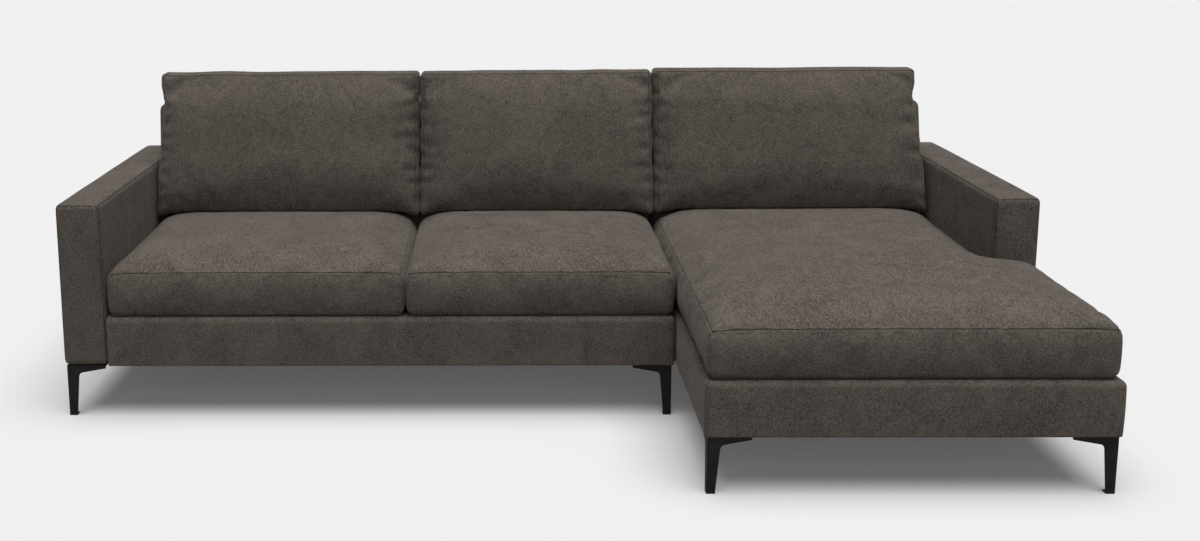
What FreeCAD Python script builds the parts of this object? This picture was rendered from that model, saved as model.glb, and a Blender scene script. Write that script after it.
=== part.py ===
import FreeCAD, Part
import math
import os

# Sectional sofa with chaise, in millimetres. +X is the viewer's right, +Y the back, +Z up.
# The origin is on the floor, under the centre of the whole sofa.

# Overall plan
overall_width = 2760.0
sofa_depth = 1030.0
chaise_reach = 550.0
loveseat_width = 1740.0
module_gap = 4.0

# Heights above the floor
leg_height = 150.0
base_height = 142.0
arm_height = 622.0
back_height = 800.0

# Arms and backs
arm_width = 130.0
right_arm_setback = 45.0
arm_edge_radius = 12.0
back_thickness_at_seat = 345.0
back_thickness_at_top = 270.0
back_edge_radius = 26.0
back_arm_overhang = 8.0

# Upholstery layers
cover_thickness = 3.0
padding_thickness = 15.0
skin_gap = 0.3
panel_thickness = 12.0
panel_flange = 60.0
panel_edge_radius = 11.0
dust_cover_thickness = 2.0
deck_thickness = 12.0

# Timber
rail_thickness = 25.0
stretcher_width = 40.0
stretcher_height = 70.0
corner_block_size = 120.0
corner_block_height = 40.0
post_width = 45.0
slat_thickness = 20.0

# Seat springs
spring_spacing = 105.0
spring_wave = 24.0
spring_pitch = 30.0
spring_wire = 4.0
clip_width = 34.0
clip_height = 24.0
clip_thickness = 5.0

# Legs
leg_plate_thickness = 5.0
leg_inset = 8.0
leg_front_inset = 12.0
leg_top_width = 110.0
leg_neck_width = 33.0
leg_foot_width = 22.0
leg_neck_drop = 20.0
leg_tip_thickness = 5.0
leg_neck_radius = 9.0
leg_mount_corner = 44.0
leg_screw_near = 35.0
leg_screw_far = 85.0
glide_height = 3.0
screw_radius = 3.0
screw_length = 36.0
screw_head_radius = 6.0
screw_head_height = 3.0
screw_hole_clearance = 0.3

# Sectional connector
connector_front_offset = 230.0
connector_rear_offset = 290.0
connector_plate_thickness = 4.0
connector_plate_length = 90.0
connector_plate_width = 60.0
connector_pin_radius = 6.0
connector_pin_length = 26.0
connector_clearance = 1.0

# Loose cushions
left_seat_width = 848.0
cushion_gap = 4.0
seat_front_inset = 4.0
seat_side_inset = 4.0
seat_seam_height = 125.0
seat_rear_height = 160.0
seat_crown = 40.0
seat_side_crown = 10.0
seat_rear_clearance = 5.0
seat_front_bulge = 4.0
chaise_front_inset = 5.0
chaise_outer_inset = 14.0
chaise_crown_height = 184.0
chaise_contact_height = 179.0
chaise_rear_height = 166.0
back_cushion_seat_depth = 600.0
back_cushion_height = 440.0
back_cushion_top_thickness = 84.0
back_cushion_top_lean = 95.0
back_cushion_crown = 36.0
back_cushion_foot_fullness = 0.35
back_cushion_split_shift = 10.0
back_cushion_gap = 9.0
back_cushion_side_pull = 7.0
back_cushion_side_swell = 4.0
back_cushion_side_gap = 9.0
chaise_back_cushion_taper = 34.0
cushion_cover = 3.0
contact_gap = 0.3

# Places worked out from the sizes above
total_depth = sofa_depth + chaise_reach
left_x = -overall_width / 2
right_x = overall_width / 2
back_y = total_depth / 2
front_y = back_y - sofa_depth
chaise_front_y = front_y - chaise_reach
right_arm_front_y = front_y + right_arm_setback
loveseat_right_x = left_x + loveseat_width
chaise_left_x = loveseat_right_x + module_gap
left_arm_inner_x = left_x + arm_width
right_arm_inner_x = right_x - arm_width
base_top = leg_height + base_height
frame_bottom = leg_height + dust_cover_thickness
deck_top = base_top
deck_bottom = deck_top - deck_thickness
rail_top = deck_bottom
back_front_low_y = back_y - back_thickness_at_seat
back_front_high_y = back_y - back_thickness_at_top
back_slope = (back_front_high_y - back_front_low_y) / (back_height - base_top)
leg_bottom = glide_height
cushion_bottom = base_top + contact_gap
seat_front_y = front_y + seat_front_inset
seat_rear_y = back_front_low_y - seat_rear_clearance
back_cushion_front_y = front_y + back_cushion_seat_depth


def vec(x, y, z):
    return FreeCAD.Vector(x, y, z)


def box(x0, x1, y0, y1, z0, z1):
    return Part.makeBox(x1 - x0, y1 - y0, z1 - z0, vec(x0, y0, z0))


def group(solids):
    return Part.makeCompound(solids)


def save(name, shape):
    shape.exportStep(os.path.join("parts", name + ".step"))


def polygon_face(points):
    return Part.Face(Part.makePolygon(points + [points[0]]))


def rounded_box(x0, x1, y0, y1, z0, z1, radius):
    """A box whose upright edges and top edges are rounded."""
    solid = box(x0, x1, y0, y1, z0, z1)
    edges = [edge for edge in solid.Edges if edge.BoundBox.ZMax > (z0 + z1) / 2]
    return solid.makeFillet(radius, edges)


# Base frame and its upholstery

def stretchers(xs, y0, y1):
    """Beams from the front rail to the rear rail, low enough to clear the springs."""
    top = frame_bottom + stretcher_height
    half = stretcher_width / 2
    return [box(x - half, x + half, y0, y1, frame_bottom, top) for x in xs]


def leg_screw_places(corner_x, corner_y, dx, dy):
    """Three screw centres in a leg's mounting plate, from its outer corner inwards."""
    near = leg_screw_near
    far = leg_screw_far
    offsets = [(near, near), (far, near), (near, far)]
    return [(corner_x + dx * a, corner_y + dy * b) for a, b in offsets]


def corner_block(corner_x, corner_y, dx, dy):
    """A square timber block in a base corner, bored for the leg's screws."""
    x_low = min(corner_x, corner_x + dx * corner_block_size)
    y_low = min(corner_y, corner_y + dy * corner_block_size)
    return Part.makeBox(corner_block_size, corner_block_size, corner_block_height,
                        vec(x_low, y_low, frame_bottom))


def drill(solid, places, radius, z0, z1):
    """The solid with an upright round hole at each place that meets it."""
    for x, y in places:
        tool = Part.makeCylinder(radius, z1 - z0, vec(x, y, z0))
        if solid.BoundBox.intersect(tool.BoundBox):
            solid = solid.cut(tool)
    return solid


def screw_drill(solid, places):
    """The solid with clearance holes for the leg screws that pass through it."""
    top = leg_height - leg_plate_thickness + screw_length + 1
    return drill(solid, places, screw_radius + screw_hole_clearance, leg_height - 1, top)


def spring(place, along0, along1, across):
    """One sinuous spring: a flat zigzag band between two clips. place(along, across) is a point."""
    count = int((along1 - along0) / spring_pitch)
    step = (along1 - along0) / count
    half_wire = spring_wire / 2
    near = []
    far = []
    for i in range(count + 1):
        side = 0.0 if i in (0, count) else (spring_wave if i % 2 else -spring_wave)
        near.append(place(along0 + i * step, across + side - half_wire))
        far.append(place(along0 + i * step, across + side + half_wire))
    return polygon_face(near + far[::-1]).extrude(vec(0, 0, spring_wire))


def springs_and_clips(place, along0, along1, across0, across1):
    """Evenly spaced springs between two rails, with a clip on the rail at each end."""
    count = int((across1 - across0) / spring_spacing)
    first = (across0 + across1) / 2 - (count - 1) * spring_spacing / 2
    wires = []
    clips = []
    half = clip_width / 2
    for i in range(count):
        across = first + i * spring_spacing
        wires.append(spring(place, along0 + clip_thickness, along1 - clip_thickness, across))
        for along in (along0, along1 - clip_thickness):
            corners = [place(along, across - half), place(along + clip_thickness, across - half),
                       place(along + clip_thickness, across + half), place(along, across + half)]
            clip = polygon_face(corners).extrude(vec(0, 0, clip_height))
            clip.translate(vec(0, 0, spring_wire - clip_height))
            clips.append(clip)
    return wires, clips


def front_to_back(along, across):
    return vec(across, along, deck_bottom - spring_wire)


def side_to_side(along, across):
    return vec(along, across, deck_bottom - spring_wire)


def panel_section(width_point, along):
    """Closed section of a padded cover panel: an upright face with a flange over the rail."""
    z0 = leg_height
    z1 = base_top
    r = panel_edge_radius
    arc_middle = r * (1 - math.sqrt(0.5))
    inner_top = rail_top
    p = [width_point(0, z0), width_point(0, z1 - r), width_point(arc_middle, z1 - arc_middle),
         width_point(r, z1), width_point(panel_flange, z1), width_point(panel_flange, inner_top),
         width_point(panel_thickness, inner_top), width_point(panel_thickness, z0)]
    edges = [Part.LineSegment(p[0], p[1]).toShape(),
             Part.Arc(p[1], p[2], p[3]).toShape()]
    for a, b in zip(p[3:], p[4:] + p[:1]):
        edges.append(Part.LineSegment(a, b).toShape())
    return Part.Face(Part.Wire(edges)).extrude(along)


def panel_facing_front(x0, x1, y):
    return panel_section(lambda d, z: vec(x0, y + d, z), vec(x1 - x0, 0, 0))


def panel_facing_side(x, inward, y0, y1):
    return panel_section(lambda d, z: vec(x + inward * d, y0, z), vec(0, y1 - y0, 0))


# Arms and backs

def arm(prefix, x0, x1, y0, y1, screw_places):
    """A track arm: timber frame, foam wrap and sewn cover, bored underneath for the leg screws."""
    z0 = leg_height
    z1 = arm_height
    c = cover_thickness
    foam_in = c + skin_gap
    frame_in = foam_in + padding_thickness
    outer = rounded_box(x0, x1, y0, y1, z0, z1, arm_edge_radius)
    hollow = rounded_box(x0 + c, x1 - c, y0 + c, y1 - c, z0 + c, z1 - c, arm_edge_radius - c)
    save(prefix + "_arm_cover", screw_drill(outer.cut(hollow), screw_places))
    foam = rounded_box(x0 + foam_in, x1 - foam_in, y0 + foam_in, y1 - foam_in,
                       z0 + foam_in, z1 - foam_in, arm_edge_radius - foam_in)
    room = box(x0 + frame_in, x1 - frame_in, y0 + frame_in, y1 - frame_in,
               z0 + frame_in, z1 - frame_in)
    save(prefix + "_arm_padding", screw_drill(foam.cut(room), screw_places))
    xa, xb = x0 + frame_in, x1 - frame_in
    ya, yb = y0 + frame_in, y1 - frame_in
    za, zb = z0 + frame_in, z1 - frame_in
    middle_y = (ya + yb) / 2
    half_post = post_width / 2
    posts = [box(xa, xb, ya, ya + post_width, za, zb),
             box(xa, xb, yb - post_width, yb, za, zb),
             box(xa, xb, middle_y - half_post, middle_y + half_post, za, zb)]
    rails = []
    spans = ((ya + post_width, middle_y - half_post), (middle_y + half_post, yb - post_width))
    for y_near, y_far in spans:
        rails.append(box(xa, xb, y_near, y_far, zb - slat_thickness, zb))
        rails.append(box(xa, xb, y_near, y_far, za, za + slat_thickness))
    save(prefix + "_arm_frame", group([screw_drill(part, screw_places) for part in posts + rails]))


def back_front_y(z):
    return back_front_low_y + (z - base_top) * back_slope


def back_outline(x, inset, top_radius, z0):
    """Closed section of the back: sloped front, rounded top edges, upright rear."""
    lean = math.atan(back_slope)
    shift = inset / math.cos(lean)
    z1 = back_height - inset
    y_rear = back_y - inset
    front_top = vec(x, back_front_y(z1) + shift, z1)
    front_low = vec(x, back_front_y(z0) + shift, z0)
    rear_top = vec(x, y_rear, z1)
    rear_low = vec(x, y_rear, z0)
    r = top_radius
    rise = vec(0, math.sin(lean), math.cos(lean))
    setback = r / math.tan((math.pi / 2 + lean) / 2)
    a = front_top - rise * setback
    b = front_top + vec(0, setback, 0)
    centre = b - vec(0, 0, r)
    out = (front_top - centre)
    out.normalize()
    c = rear_top - vec(0, r, 0)
    d = rear_top - vec(0, 0, r)
    rear_centre = vec(x, y_rear - r, z1 - r)
    rear_out = vec(0, math.sqrt(0.5), math.sqrt(0.5))
    edges = [Part.LineSegment(front_low, a).toShape(),
             Part.Arc(a, centre + out * r, b).toShape(),
             Part.LineSegment(b, c).toShape(),
             Part.Arc(c, rear_centre + rear_out * r, d).toShape(),
             Part.LineSegment(d, rear_low).toShape(),
             Part.LineSegment(rear_low, front_low).toShape()]
    return Part.Face(Part.Wire(edges))


def back_form(x0, x1, inset, z0):
    face = back_outline(x0 + inset, inset, back_edge_radius - inset, z0)
    return face.extrude(vec(x1 - x0 - 2 * inset, 0, 0))


def back(prefix, x0, x1, overhang):
    """A module's back: timber frame, foam wrap and cover, which may swell over the arm on its left."""
    c = cover_thickness
    foam_in = c + skin_gap
    frame_in = foam_in + padding_thickness
    outer = back_form(x0, x1, 0.0, base_top)
    if overhang > 0:
        swell = back_form(x0 - overhang, x1, 0.0, arm_height + contact_gap)
        outer = outer.fuse(swell).removeSplitter()
    hollow = back_form(x0, x1, c, base_top + c)
    cover = outer.cut(hollow)
    skirt = box(x0, x1, back_y - c, back_y, leg_height, base_top)
    save(prefix + "_back_cover", group([cover, skirt]))
    foam = back_form(x0, x1, foam_in, base_top + foam_in)
    room = back_form(x0, x1, frame_in, base_top + frame_in)
    save(prefix + "_back_padding", foam.cut(room))
    xa, xb = x0 + frame_in, x1 - frame_in
    za, zb = base_top + frame_in, back_height - frame_in
    y_rear = back_y - frame_in
    rib_in = frame_in + skin_gap
    rib_radius = back_edge_radius - rib_in
    rib_x = [xa, (xa + xb - slat_thickness) / 2, xb - slat_thickness]
    members = []
    for x in rib_x:
        rib = back_outline(x, rib_in, rib_radius, za)
        members.append(rib.extrude(vec(slat_thickness, 0, 0)))
    top_y = (back_front_y(zb) + frame_in + y_rear) / 2
    low_y = back_front_y(za) + frame_in + post_width
    for x_near, x_far in zip(rib_x, rib_x[1:]):
        x_near += slat_thickness
        members.append(box(x_near, x_far, top_y - post_width, top_y + post_width,
                           zb - rib_radius - slat_thickness, zb - rib_radius))
        members.append(box(x_near, x_far, low_y, low_y + post_width, za, za + slat_thickness))
        members.append(box(x_near, x_far, y_rear - slat_thickness - skin_gap, y_rear - skin_gap,
                           za, za + post_width))
    save(prefix + "_back_frame", group(members))


# Legs, glides, screws and the sectional connector

def leg_blade(width_point, thickness_vector):
    """One blade of a leg: a slim taper that flares along the top into a pointed gusset."""
    z_top = leg_height - leg_plate_thickness
    z_neck = z_top - leg_neck_drop
    slope = (leg_neck_width - leg_foot_width) / (z_neck - leg_bottom)
    r = leg_neck_radius
    p = [width_point(0, leg_bottom),
         width_point(leg_foot_width, leg_bottom),
         width_point(leg_neck_width - slope * r, z_neck - r),
         width_point(leg_neck_width + r * 0.28, z_neck - r * 0.22),
         width_point(leg_neck_width + r, z_neck + r * 0.3),
         width_point(leg_top_width, z_top - leg_tip_thickness),
         width_point(leg_top_width, z_top),
         width_point(0, z_top)]
    edges = [Part.LineSegment(p[0], p[1]).toShape(),
             Part.LineSegment(p[1], p[2]).toShape(),
             Part.Arc(p[2], p[3], p[4]).toShape()]
    for a, b in zip(p[4:], p[5:] + p[:1]):
        edges.append(Part.LineSegment(a, b).toShape())
    return Part.Face(Part.Wire(edges)).extrude(thickness_vector)


def leg(x, y, dx, dy):
    """A leg at a base corner: two welded blades at right angles under a mounting plate."""
    t = leg_plate_thickness
    blade_x = leg_blade(lambda w, z: vec(x + dx * w, y, z), vec(0, dy * t, 0))
    blade_y = leg_blade(lambda w, z: vec(x, y + dy * w, z), vec(dx * t, 0, 0))
    z0 = leg_height - t
    size = leg_top_width
    corner = leg_mount_corner
    plate_points = [vec(x, y, z0), vec(x + dx * size, y, z0), vec(x + dx * size, y + dy * corner, z0),
                    vec(x + dx * corner, y + dy * size, z0), vec(x, y + dy * size, z0)]
    plate = polygon_face(plate_points).extrude(vec(0, 0, t))
    solid = blade_x.fuse(blade_y).fuse(plate).removeSplitter()
    places = leg_screw_places(x, y, dx, dy)
    return drill(solid, places, screw_radius + screw_hole_clearance, z0 - 1, leg_height + 1)


def leg_glide(x, y, dx, dy):
    """A plastic pad under the foot, where the two blades meet."""
    size = leg_foot_width
    return Part.makeBox(size, size, glide_height, vec(min(x, x + dx * size), min(y, y + dy * size), 0))


def leg_screw(x, y):
    shank = Part.makeCylinder(screw_radius, screw_length, vec(x, y, leg_height - leg_plate_thickness))
    head = Part.makeCylinder(screw_head_radius, screw_head_height,
                             vec(x, y, leg_height - leg_plate_thickness - screw_head_height))
    return shank.fuse(head).removeSplitter()


def legs_of(prefix, corners, names):
    """Legs, their screws and glides for one module, and the screw places for its holes."""
    screws = []
    glides = []
    places = []
    for (corner_x, corner_y, dx, dy), name in zip(corners, names):
        x = corner_x + dx * leg_inset
        y = corner_y + dy * leg_front_inset
        save(prefix + "_leg_" + name, leg(x, y, dx, dy))
        glides.append(leg_glide(x, y, dx, dy))
        own = leg_screw_places(x, y, dx, dy)
        places.extend(own)
        screws.extend(leg_screw(px, py) for px, py in own)
    save(prefix + "_leg_screws", group(screws))
    save(prefix + "_leg_glides", group(glides))
    return places


connector_y = [front_y + connector_front_offset, back_y - connector_rear_offset]
connector_pin_x = chaise_left_x + panel_thickness + rail_thickness / 2
pin_places = [(connector_pin_x, y) for y in connector_y]


connector_hole_radius = connector_pin_radius + connector_clearance


def connector_plates():
    """Loveseat side: flat plates under its edge that reach under the chaise, with upright pins."""
    z1 = leg_height - connector_plate_thickness
    z0 = z1 - connector_plate_thickness
    half = connector_plate_width / 2
    x0 = loveseat_right_x - connector_plate_length
    plates = []
    for x, y in pin_places:
        low = box(x0, x + half, y - half, y + half, z0, z1)
        packer = box(x0, loveseat_right_x, y - half, y + half, z1, leg_height)
        pin = Part.makeCylinder(connector_pin_radius, connector_pin_length, vec(x, y, z1))
        plates.append(low.fuse(packer).fuse(pin).removeSplitter())
    return group(plates)


def connector_sockets():
    """Chaise side: plates under its edge, each bored to drop over a pin."""
    z0 = leg_height - connector_plate_thickness + contact_gap
    half = connector_plate_width / 2
    plates = []
    for x, y in pin_places:
        plate = box(chaise_left_x, x + half, y - half, y + half, z0, leg_height)
        plates.append(drill(plate, [(x, y)], connector_hole_radius, z0 - 1, leg_height + 1))
    return group(plates)


def pin_drill(solid):
    """The solid with a bore above each connector pin."""
    top = leg_height + connector_pin_length + connector_clearance
    return drill(solid, pin_places, connector_hole_radius, leg_height - 1, top)


# Loose cushions

def section_wire(points_and_arcs):
    """A closed wire from (start, middle or None) pairs: an arc where a middle is given."""
    edges = []
    count = len(points_and_arcs)
    for i, (start, middle) in enumerate(points_and_arcs):
        end = points_and_arcs[(i + 1) % count][0]
        if middle is None:
            edges.append(Part.LineSegment(start, end).toShape())
        else:
            edges.append(Part.Arc(start, middle, end).toShape())
    return Part.Wire(edges)


def seat_section(x, inset, crown, y0, y1):
    """A seat cushion's section at one place along its width, from front to rear."""
    y_front = y0 + inset
    y_rear = y1 - inset
    z0 = cushion_bottom + inset
    z_front = cushion_bottom + seat_seam_height - inset
    z_rear = cushion_bottom + seat_rear_height - inset - (seat_crown - crown) * 0.5
    middle_y = (y_front + y_rear) / 2
    crown_z = (z_front + z_rear) / 2 + crown
    return section_wire([
        (vec(x, y_front, z0), vec(x, y_front - seat_front_bulge, (z0 + z_front) / 2)),
        (vec(x, y_front, z_front), vec(x, middle_y, crown_z)),
        (vec(x, y_rear, z_rear), None),
        (vec(x, y_rear, z0), None)])


def arc_height(start, middle, end, y):
    """The height at y of the upward-bowed arc through three (y, z) points."""
    (ya, za), (yb, zb), (yc, zc) = start, middle, end
    d = 2 * (ya * (zb - zc) + yb * (zc - za) + yc * (za - zb))
    sa, sb, sc = ya * ya + za * za, yb * yb + zb * zb, yc * yc + zc * zc
    cy = (sa * (zb - zc) + sb * (zc - za) + sc * (za - zb)) / d
    cz = (sa * (yc - yb) + sb * (ya - yc) + sc * (yb - ya)) / d
    radius = math.hypot(ya - cy, za - cz)
    return cz + math.sqrt(radius * radius - (y - cy) ** 2)


def seat_form(x0, x1, inset):
    """A crowned seat cushion, lofted across its width, with softly drawn-in sides."""
    width = x1 - x0 - 2 * inset
    pull = seat_side_inset
    stations = [(0.0, seat_side_crown, pull), (0.06, seat_side_crown + 12, 0.0),
                (0.25, seat_crown - 3, 0.0), (0.5, seat_crown, 0.0), (0.75, seat_crown - 3, 0.0),
                (0.94, seat_side_crown + 12, 0.0), (1.0, seat_side_crown, pull)]
    wires = [seat_section(x0 + inset + share * width, inset, crown,
                          seat_front_y + pulled, seat_rear_y - pulled)
             for share, crown, pulled in stations]
    return Part.makeLoft(wires, True, False)


def chaise_section(y, inset, height, x0, x1, edge_height):
    """A chaise cushion's section at one place along its length, from side to side."""
    x_left = x0 + inset
    x_right = x1 - inset
    z0 = cushion_bottom + inset
    z_edge = cushion_bottom + edge_height - inset
    z_crown = cushion_bottom + height - inset
    return section_wire([
        (vec(x_left, y, z0), None),
        (vec(x_left, y, z_edge), vec((x_left + x_right) / 2, y, z_crown)),
        (vec(x_right, y, z_edge), None),
        (vec(x_right, y, z0), None)])


chaise_cushion_left_x = chaise_left_x + seat_side_inset
chaise_cushion_inner_x = right_arm_inner_x - seat_side_inset
chaise_cushion_outer_x = right_x - chaise_outer_inset
chaise_cushion_front_y = chaise_front_y + chaise_front_inset
chaise_shoulder_y = right_arm_front_y - seat_side_inset
contact_y = back_cushion_front_y - back_cushion_crown * back_cushion_foot_fullness


def chaise_form(inset):
    """The long cushion: a crowned body, lofted along its length, and an ear before the arm."""
    y0 = chaise_cushion_front_y + inset
    y1 = seat_rear_y - inset
    length = y1 - y0
    seam = seat_seam_height
    high = chaise_crown_height
    touch = (contact_y - y0) / length
    stations = [(0.0, seam + 3, seam), (0.05, seam + 24, seam + 6), (0.3, high - 8, seam + 22),
                (0.6, high, seam + 32), (touch, chaise_contact_height, seam + 32),
                (1.0, chaise_rear_height, seam + 24)]
    body = Part.makeLoft([chaise_section(y0 + share * length, inset, height, chaise_cushion_left_x,
                                         chaise_cushion_inner_x, edge)
                          for share, height, edge in stations], True, False)
    ear_y1 = chaise_shoulder_y - inset
    ear_length = ear_y1 - y0
    ear_stations = [(0.0, seam + 2, seam), (0.12, seam + 22, seam + 6), (0.6, seam + 34, seam + 12),
                    (1.0, seam + 30, seam + 10)]
    ear_x0 = chaise_cushion_inner_x - arm_width
    ear = Part.makeLoft([chaise_section(y0 + share * ear_length, inset, height, ear_x0,
                                        chaise_cushion_outer_x, edge)
                         for share, height, edge in ear_stations], True, False)
    return body.fuse(ear)


def back_cushion_section(z, share, inset, x0, x1, crown, pull):
    """A back cushion's level section: front and rear lines that lean with the height."""
    y_front = back_cushion_front_y + share * back_cushion_top_lean + inset
    y_rear_low = back_front_y(z) - contact_gap
    top_rear = back_cushion_front_y + back_cushion_top_lean + back_cushion_top_thickness
    y_rear = min(y_rear_low, top_rear) - inset
    side_bulge = back_cushion_side_swell
    xa = x0 + side_bulge + pull + inset
    xb = x1 - side_bulge - pull - inset
    middle_x = (xa + xb) / 2
    middle_y = (y_front + y_rear) / 2
    return section_wire([
        (vec(xa, y_front, z), vec(middle_x, y_front - crown, z)),
        (vec(xb, y_front, z), vec(xb + side_bulge, middle_y, z)),
        (vec(xb, y_rear, z), None),
        (vec(xa, y_rear, z), vec(xa - side_bulge, middle_y, z))])


def back_cushion_form(x0, x1, z0, inset, taper_right=0.0):
    """A leaning boxed cushion, lofted upwards: full middle, pulled-in upper sides, soft ends."""
    height = back_cushion_height - 2 * inset
    crown = back_cushion_crown
    pull = back_cushion_side_pull
    stations = [(0.0, back_cushion_foot_fullness, 2.0), (0.1, 0.75, 0.0), (0.42, 1.0, 0.0), (0.8, 0.75, pull),
                (0.93, 0.45, pull / 2), (1.0, 0.2, pull)]
    wires = []
    for share, fullness, pulled in stations:
        z = z0 + inset + share * height
        wires.append(back_cushion_section(z, share, inset, x0, x1 - taper_right * share,
                                          crown * fullness, pulled))
    return Part.makeLoft(wires, True, False)


def cushion(name, form):
    """A loose cushion: a sewn cover around a filling core."""
    outer = form(0.0)
    save(name + "_cover", outer.cut(form(cushion_cover)))
    save(name + "_core", form(cushion_cover + skin_gap))


# The two-seat module

def build_loveseat():
    t = rail_thickness
    x0, x1 = left_arm_inner_x, loveseat_right_x
    rail_x1 = x1 - panel_thickness
    rail_y0, rail_y1 = front_y + panel_thickness, back_y - cover_thickness
    inner_x0, inner_x1 = x0 + t, rail_x1 - t
    inner_y0, inner_y1 = rail_y0 + t, rail_y1 - t
    z0, z1 = frame_bottom, rail_top
    corners = [(left_x, front_y, 1, 1), (x1, front_y, -1, 1),
               (left_x, back_y, 1, -1), (x1, back_y, -1, -1)]
    places = legs_of("loveseat", corners, ["front_left", "front_right", "rear_left", "rear_right"])
    save("loveseat_front_rail", box(x0, rail_x1, rail_y0, inner_y0, z0, z1))
    save("loveseat_rear_rail", box(x0, rail_x1, inner_y1, rail_y1, z0, z1))
    save("loveseat_side_rails", group([box(x0, inner_x0, inner_y0, inner_y1, z0, z1),
                                       box(inner_x1, rail_x1, inner_y0, inner_y1, z0, z1)]))
    third = (inner_x1 - inner_x0) / 3
    save("loveseat_stretchers", group(stretchers([inner_x0 + third, inner_x0 + 2 * third],
                                                 inner_y0, inner_y1)))
    block_corners = [(inner_x0, inner_y0, 1, 1), (inner_x1, inner_y0, -1, 1),
                     (inner_x0, inner_y1, 1, -1), (inner_x1, inner_y1, -1, -1)]
    save("loveseat_corner_blocks",
         group([screw_drill(corner_block(*corner), places) for corner in block_corners]))
    wires, clips = springs_and_clips(front_to_back, inner_y0, inner_y1, inner_x0, inner_x1)
    save("loveseat_seat_springs", group(wires))
    save("loveseat_spring_clips", group(clips))
    save("loveseat_seat_deck", box(x0, x1 - panel_flange, front_y + panel_flange, rail_y1,
                                   deck_bottom, deck_top))
    front_panel = panel_facing_front(x0, x1, front_y)
    side_panel = panel_facing_side(x1, -1, rail_y0, rail_y1).cut(front_panel)
    save("loveseat_base_cover", group([front_panel, side_panel]))
    save("loveseat_dust_cover",
         screw_drill(box(x0, rail_x1, rail_y0, rail_y1, leg_height, frame_bottom), places))
    arm("loveseat", left_x, x0, front_y, back_y, places)
    back("loveseat", x0, x1, back_arm_overhang)
    save("loveseat_connector_plates", connector_plates())


# The chaise module

def build_chaise():
    t = rail_thickness
    x0, x1 = chaise_left_x, right_arm_inner_x
    arm_y = right_arm_front_y
    rail_x0, rail_xo = x0 + panel_thickness, right_x - panel_thickness
    rail_y0, rail_y1 = chaise_front_y + panel_thickness, back_y - cover_thickness
    inner_x0, inner_x1, inner_xo = rail_x0 + t, x1 - t, rail_xo - t
    inner_y0, inner_y1, step_y = rail_y0 + t, rail_y1 - t, arm_y - t
    z0, z1 = frame_bottom, rail_top
    corners = [(x0, chaise_front_y, 1, 1), (right_x, chaise_front_y, -1, 1),
               (x0, back_y, 1, -1), (right_x, back_y, -1, -1)]
    places = legs_of("chaise", corners, ["front_left", "front_right", "rear_left", "rear_right"])
    save("chaise_front_rail", box(rail_x0, rail_xo, rail_y0, inner_y0, z0, z1))
    save("chaise_rear_rail", box(rail_x0, x1, inner_y1, rail_y1, z0, z1))
    save("chaise_side_rails", group([pin_drill(box(rail_x0, inner_x0, inner_y0, inner_y1, z0, z1)),
                                     box(inner_x1, x1, step_y, inner_y1, z0, z1)]))
    save("chaise_extension_rails", group([box(inner_xo, rail_xo, inner_y0, step_y, z0, z1),
                                          box(x1, rail_xo, step_y, arm_y, z0, z1)]))
    half = stretcher_width / 2
    top = z0 + stretcher_height
    cross_y = [(inner_y0 + step_y) / 2, step_y, (step_y + inner_y1) / 2]
    beams = [box(inner_x0, inner_xo, cross_y[0] - half, cross_y[0] + half, z0, top),
             box(inner_x0, inner_x1, cross_y[1] - half, cross_y[1] + half, z0, top),
             box(inner_x0, inner_x1, cross_y[2] - half, cross_y[2] + half, z0, top)]
    save("chaise_stretchers", group(beams))
    block_corners = [(inner_x0, inner_y0, 1, 1), (inner_xo, inner_y0, -1, 1),
                     (inner_x0, inner_y1, 1, -1), (inner_x1, inner_y1, -1, -1)]
    save("chaise_corner_blocks",
         group([screw_drill(corner_block(*corner), places) for corner in block_corners]))
    wide = springs_and_clips(side_to_side, inner_x0, inner_xo, inner_y0, step_y)
    narrow = springs_and_clips(side_to_side, inner_x0, inner_x1, step_y, inner_y1)
    save("chaise_seat_springs", group(wide[0] + narrow[0]))
    save("chaise_spring_clips", group(wide[1] + narrow[1]))
    deck_y0 = chaise_front_y + panel_flange
    save("chaise_seat_deck", group([
        box(x0 + panel_flange, x1, deck_y0, rail_y1, deck_bottom, deck_top),
        box(x1, right_x - panel_flange, deck_y0, arm_y, deck_bottom, deck_top)]))
    front_panel = panel_facing_front(x0, right_x, chaise_front_y)
    left_panel = panel_facing_side(x0, 1, rail_y0, rail_y1).cut(front_panel)
    right_panel = panel_facing_side(right_x, -1, rail_y0, arm_y).cut(front_panel)
    save("chaise_base_cover", group([front_panel, left_panel, right_panel]))
    dust = box(rail_x0, x1, rail_y0, rail_y1, leg_height, frame_bottom)
    dust_ear = box(x1, rail_xo, rail_y0, arm_y, leg_height, frame_bottom)
    save("chaise_dust_cover", group([pin_drill(screw_drill(dust, places)),
                                     screw_drill(dust_ear, places)]))
    arm("chaise", x1, right_x, arm_y, back_y, places)
    back("chaise", x0, x1, 0.0)
    save("chaise_connector_sockets", connector_sockets())


# The loose cushions

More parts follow.
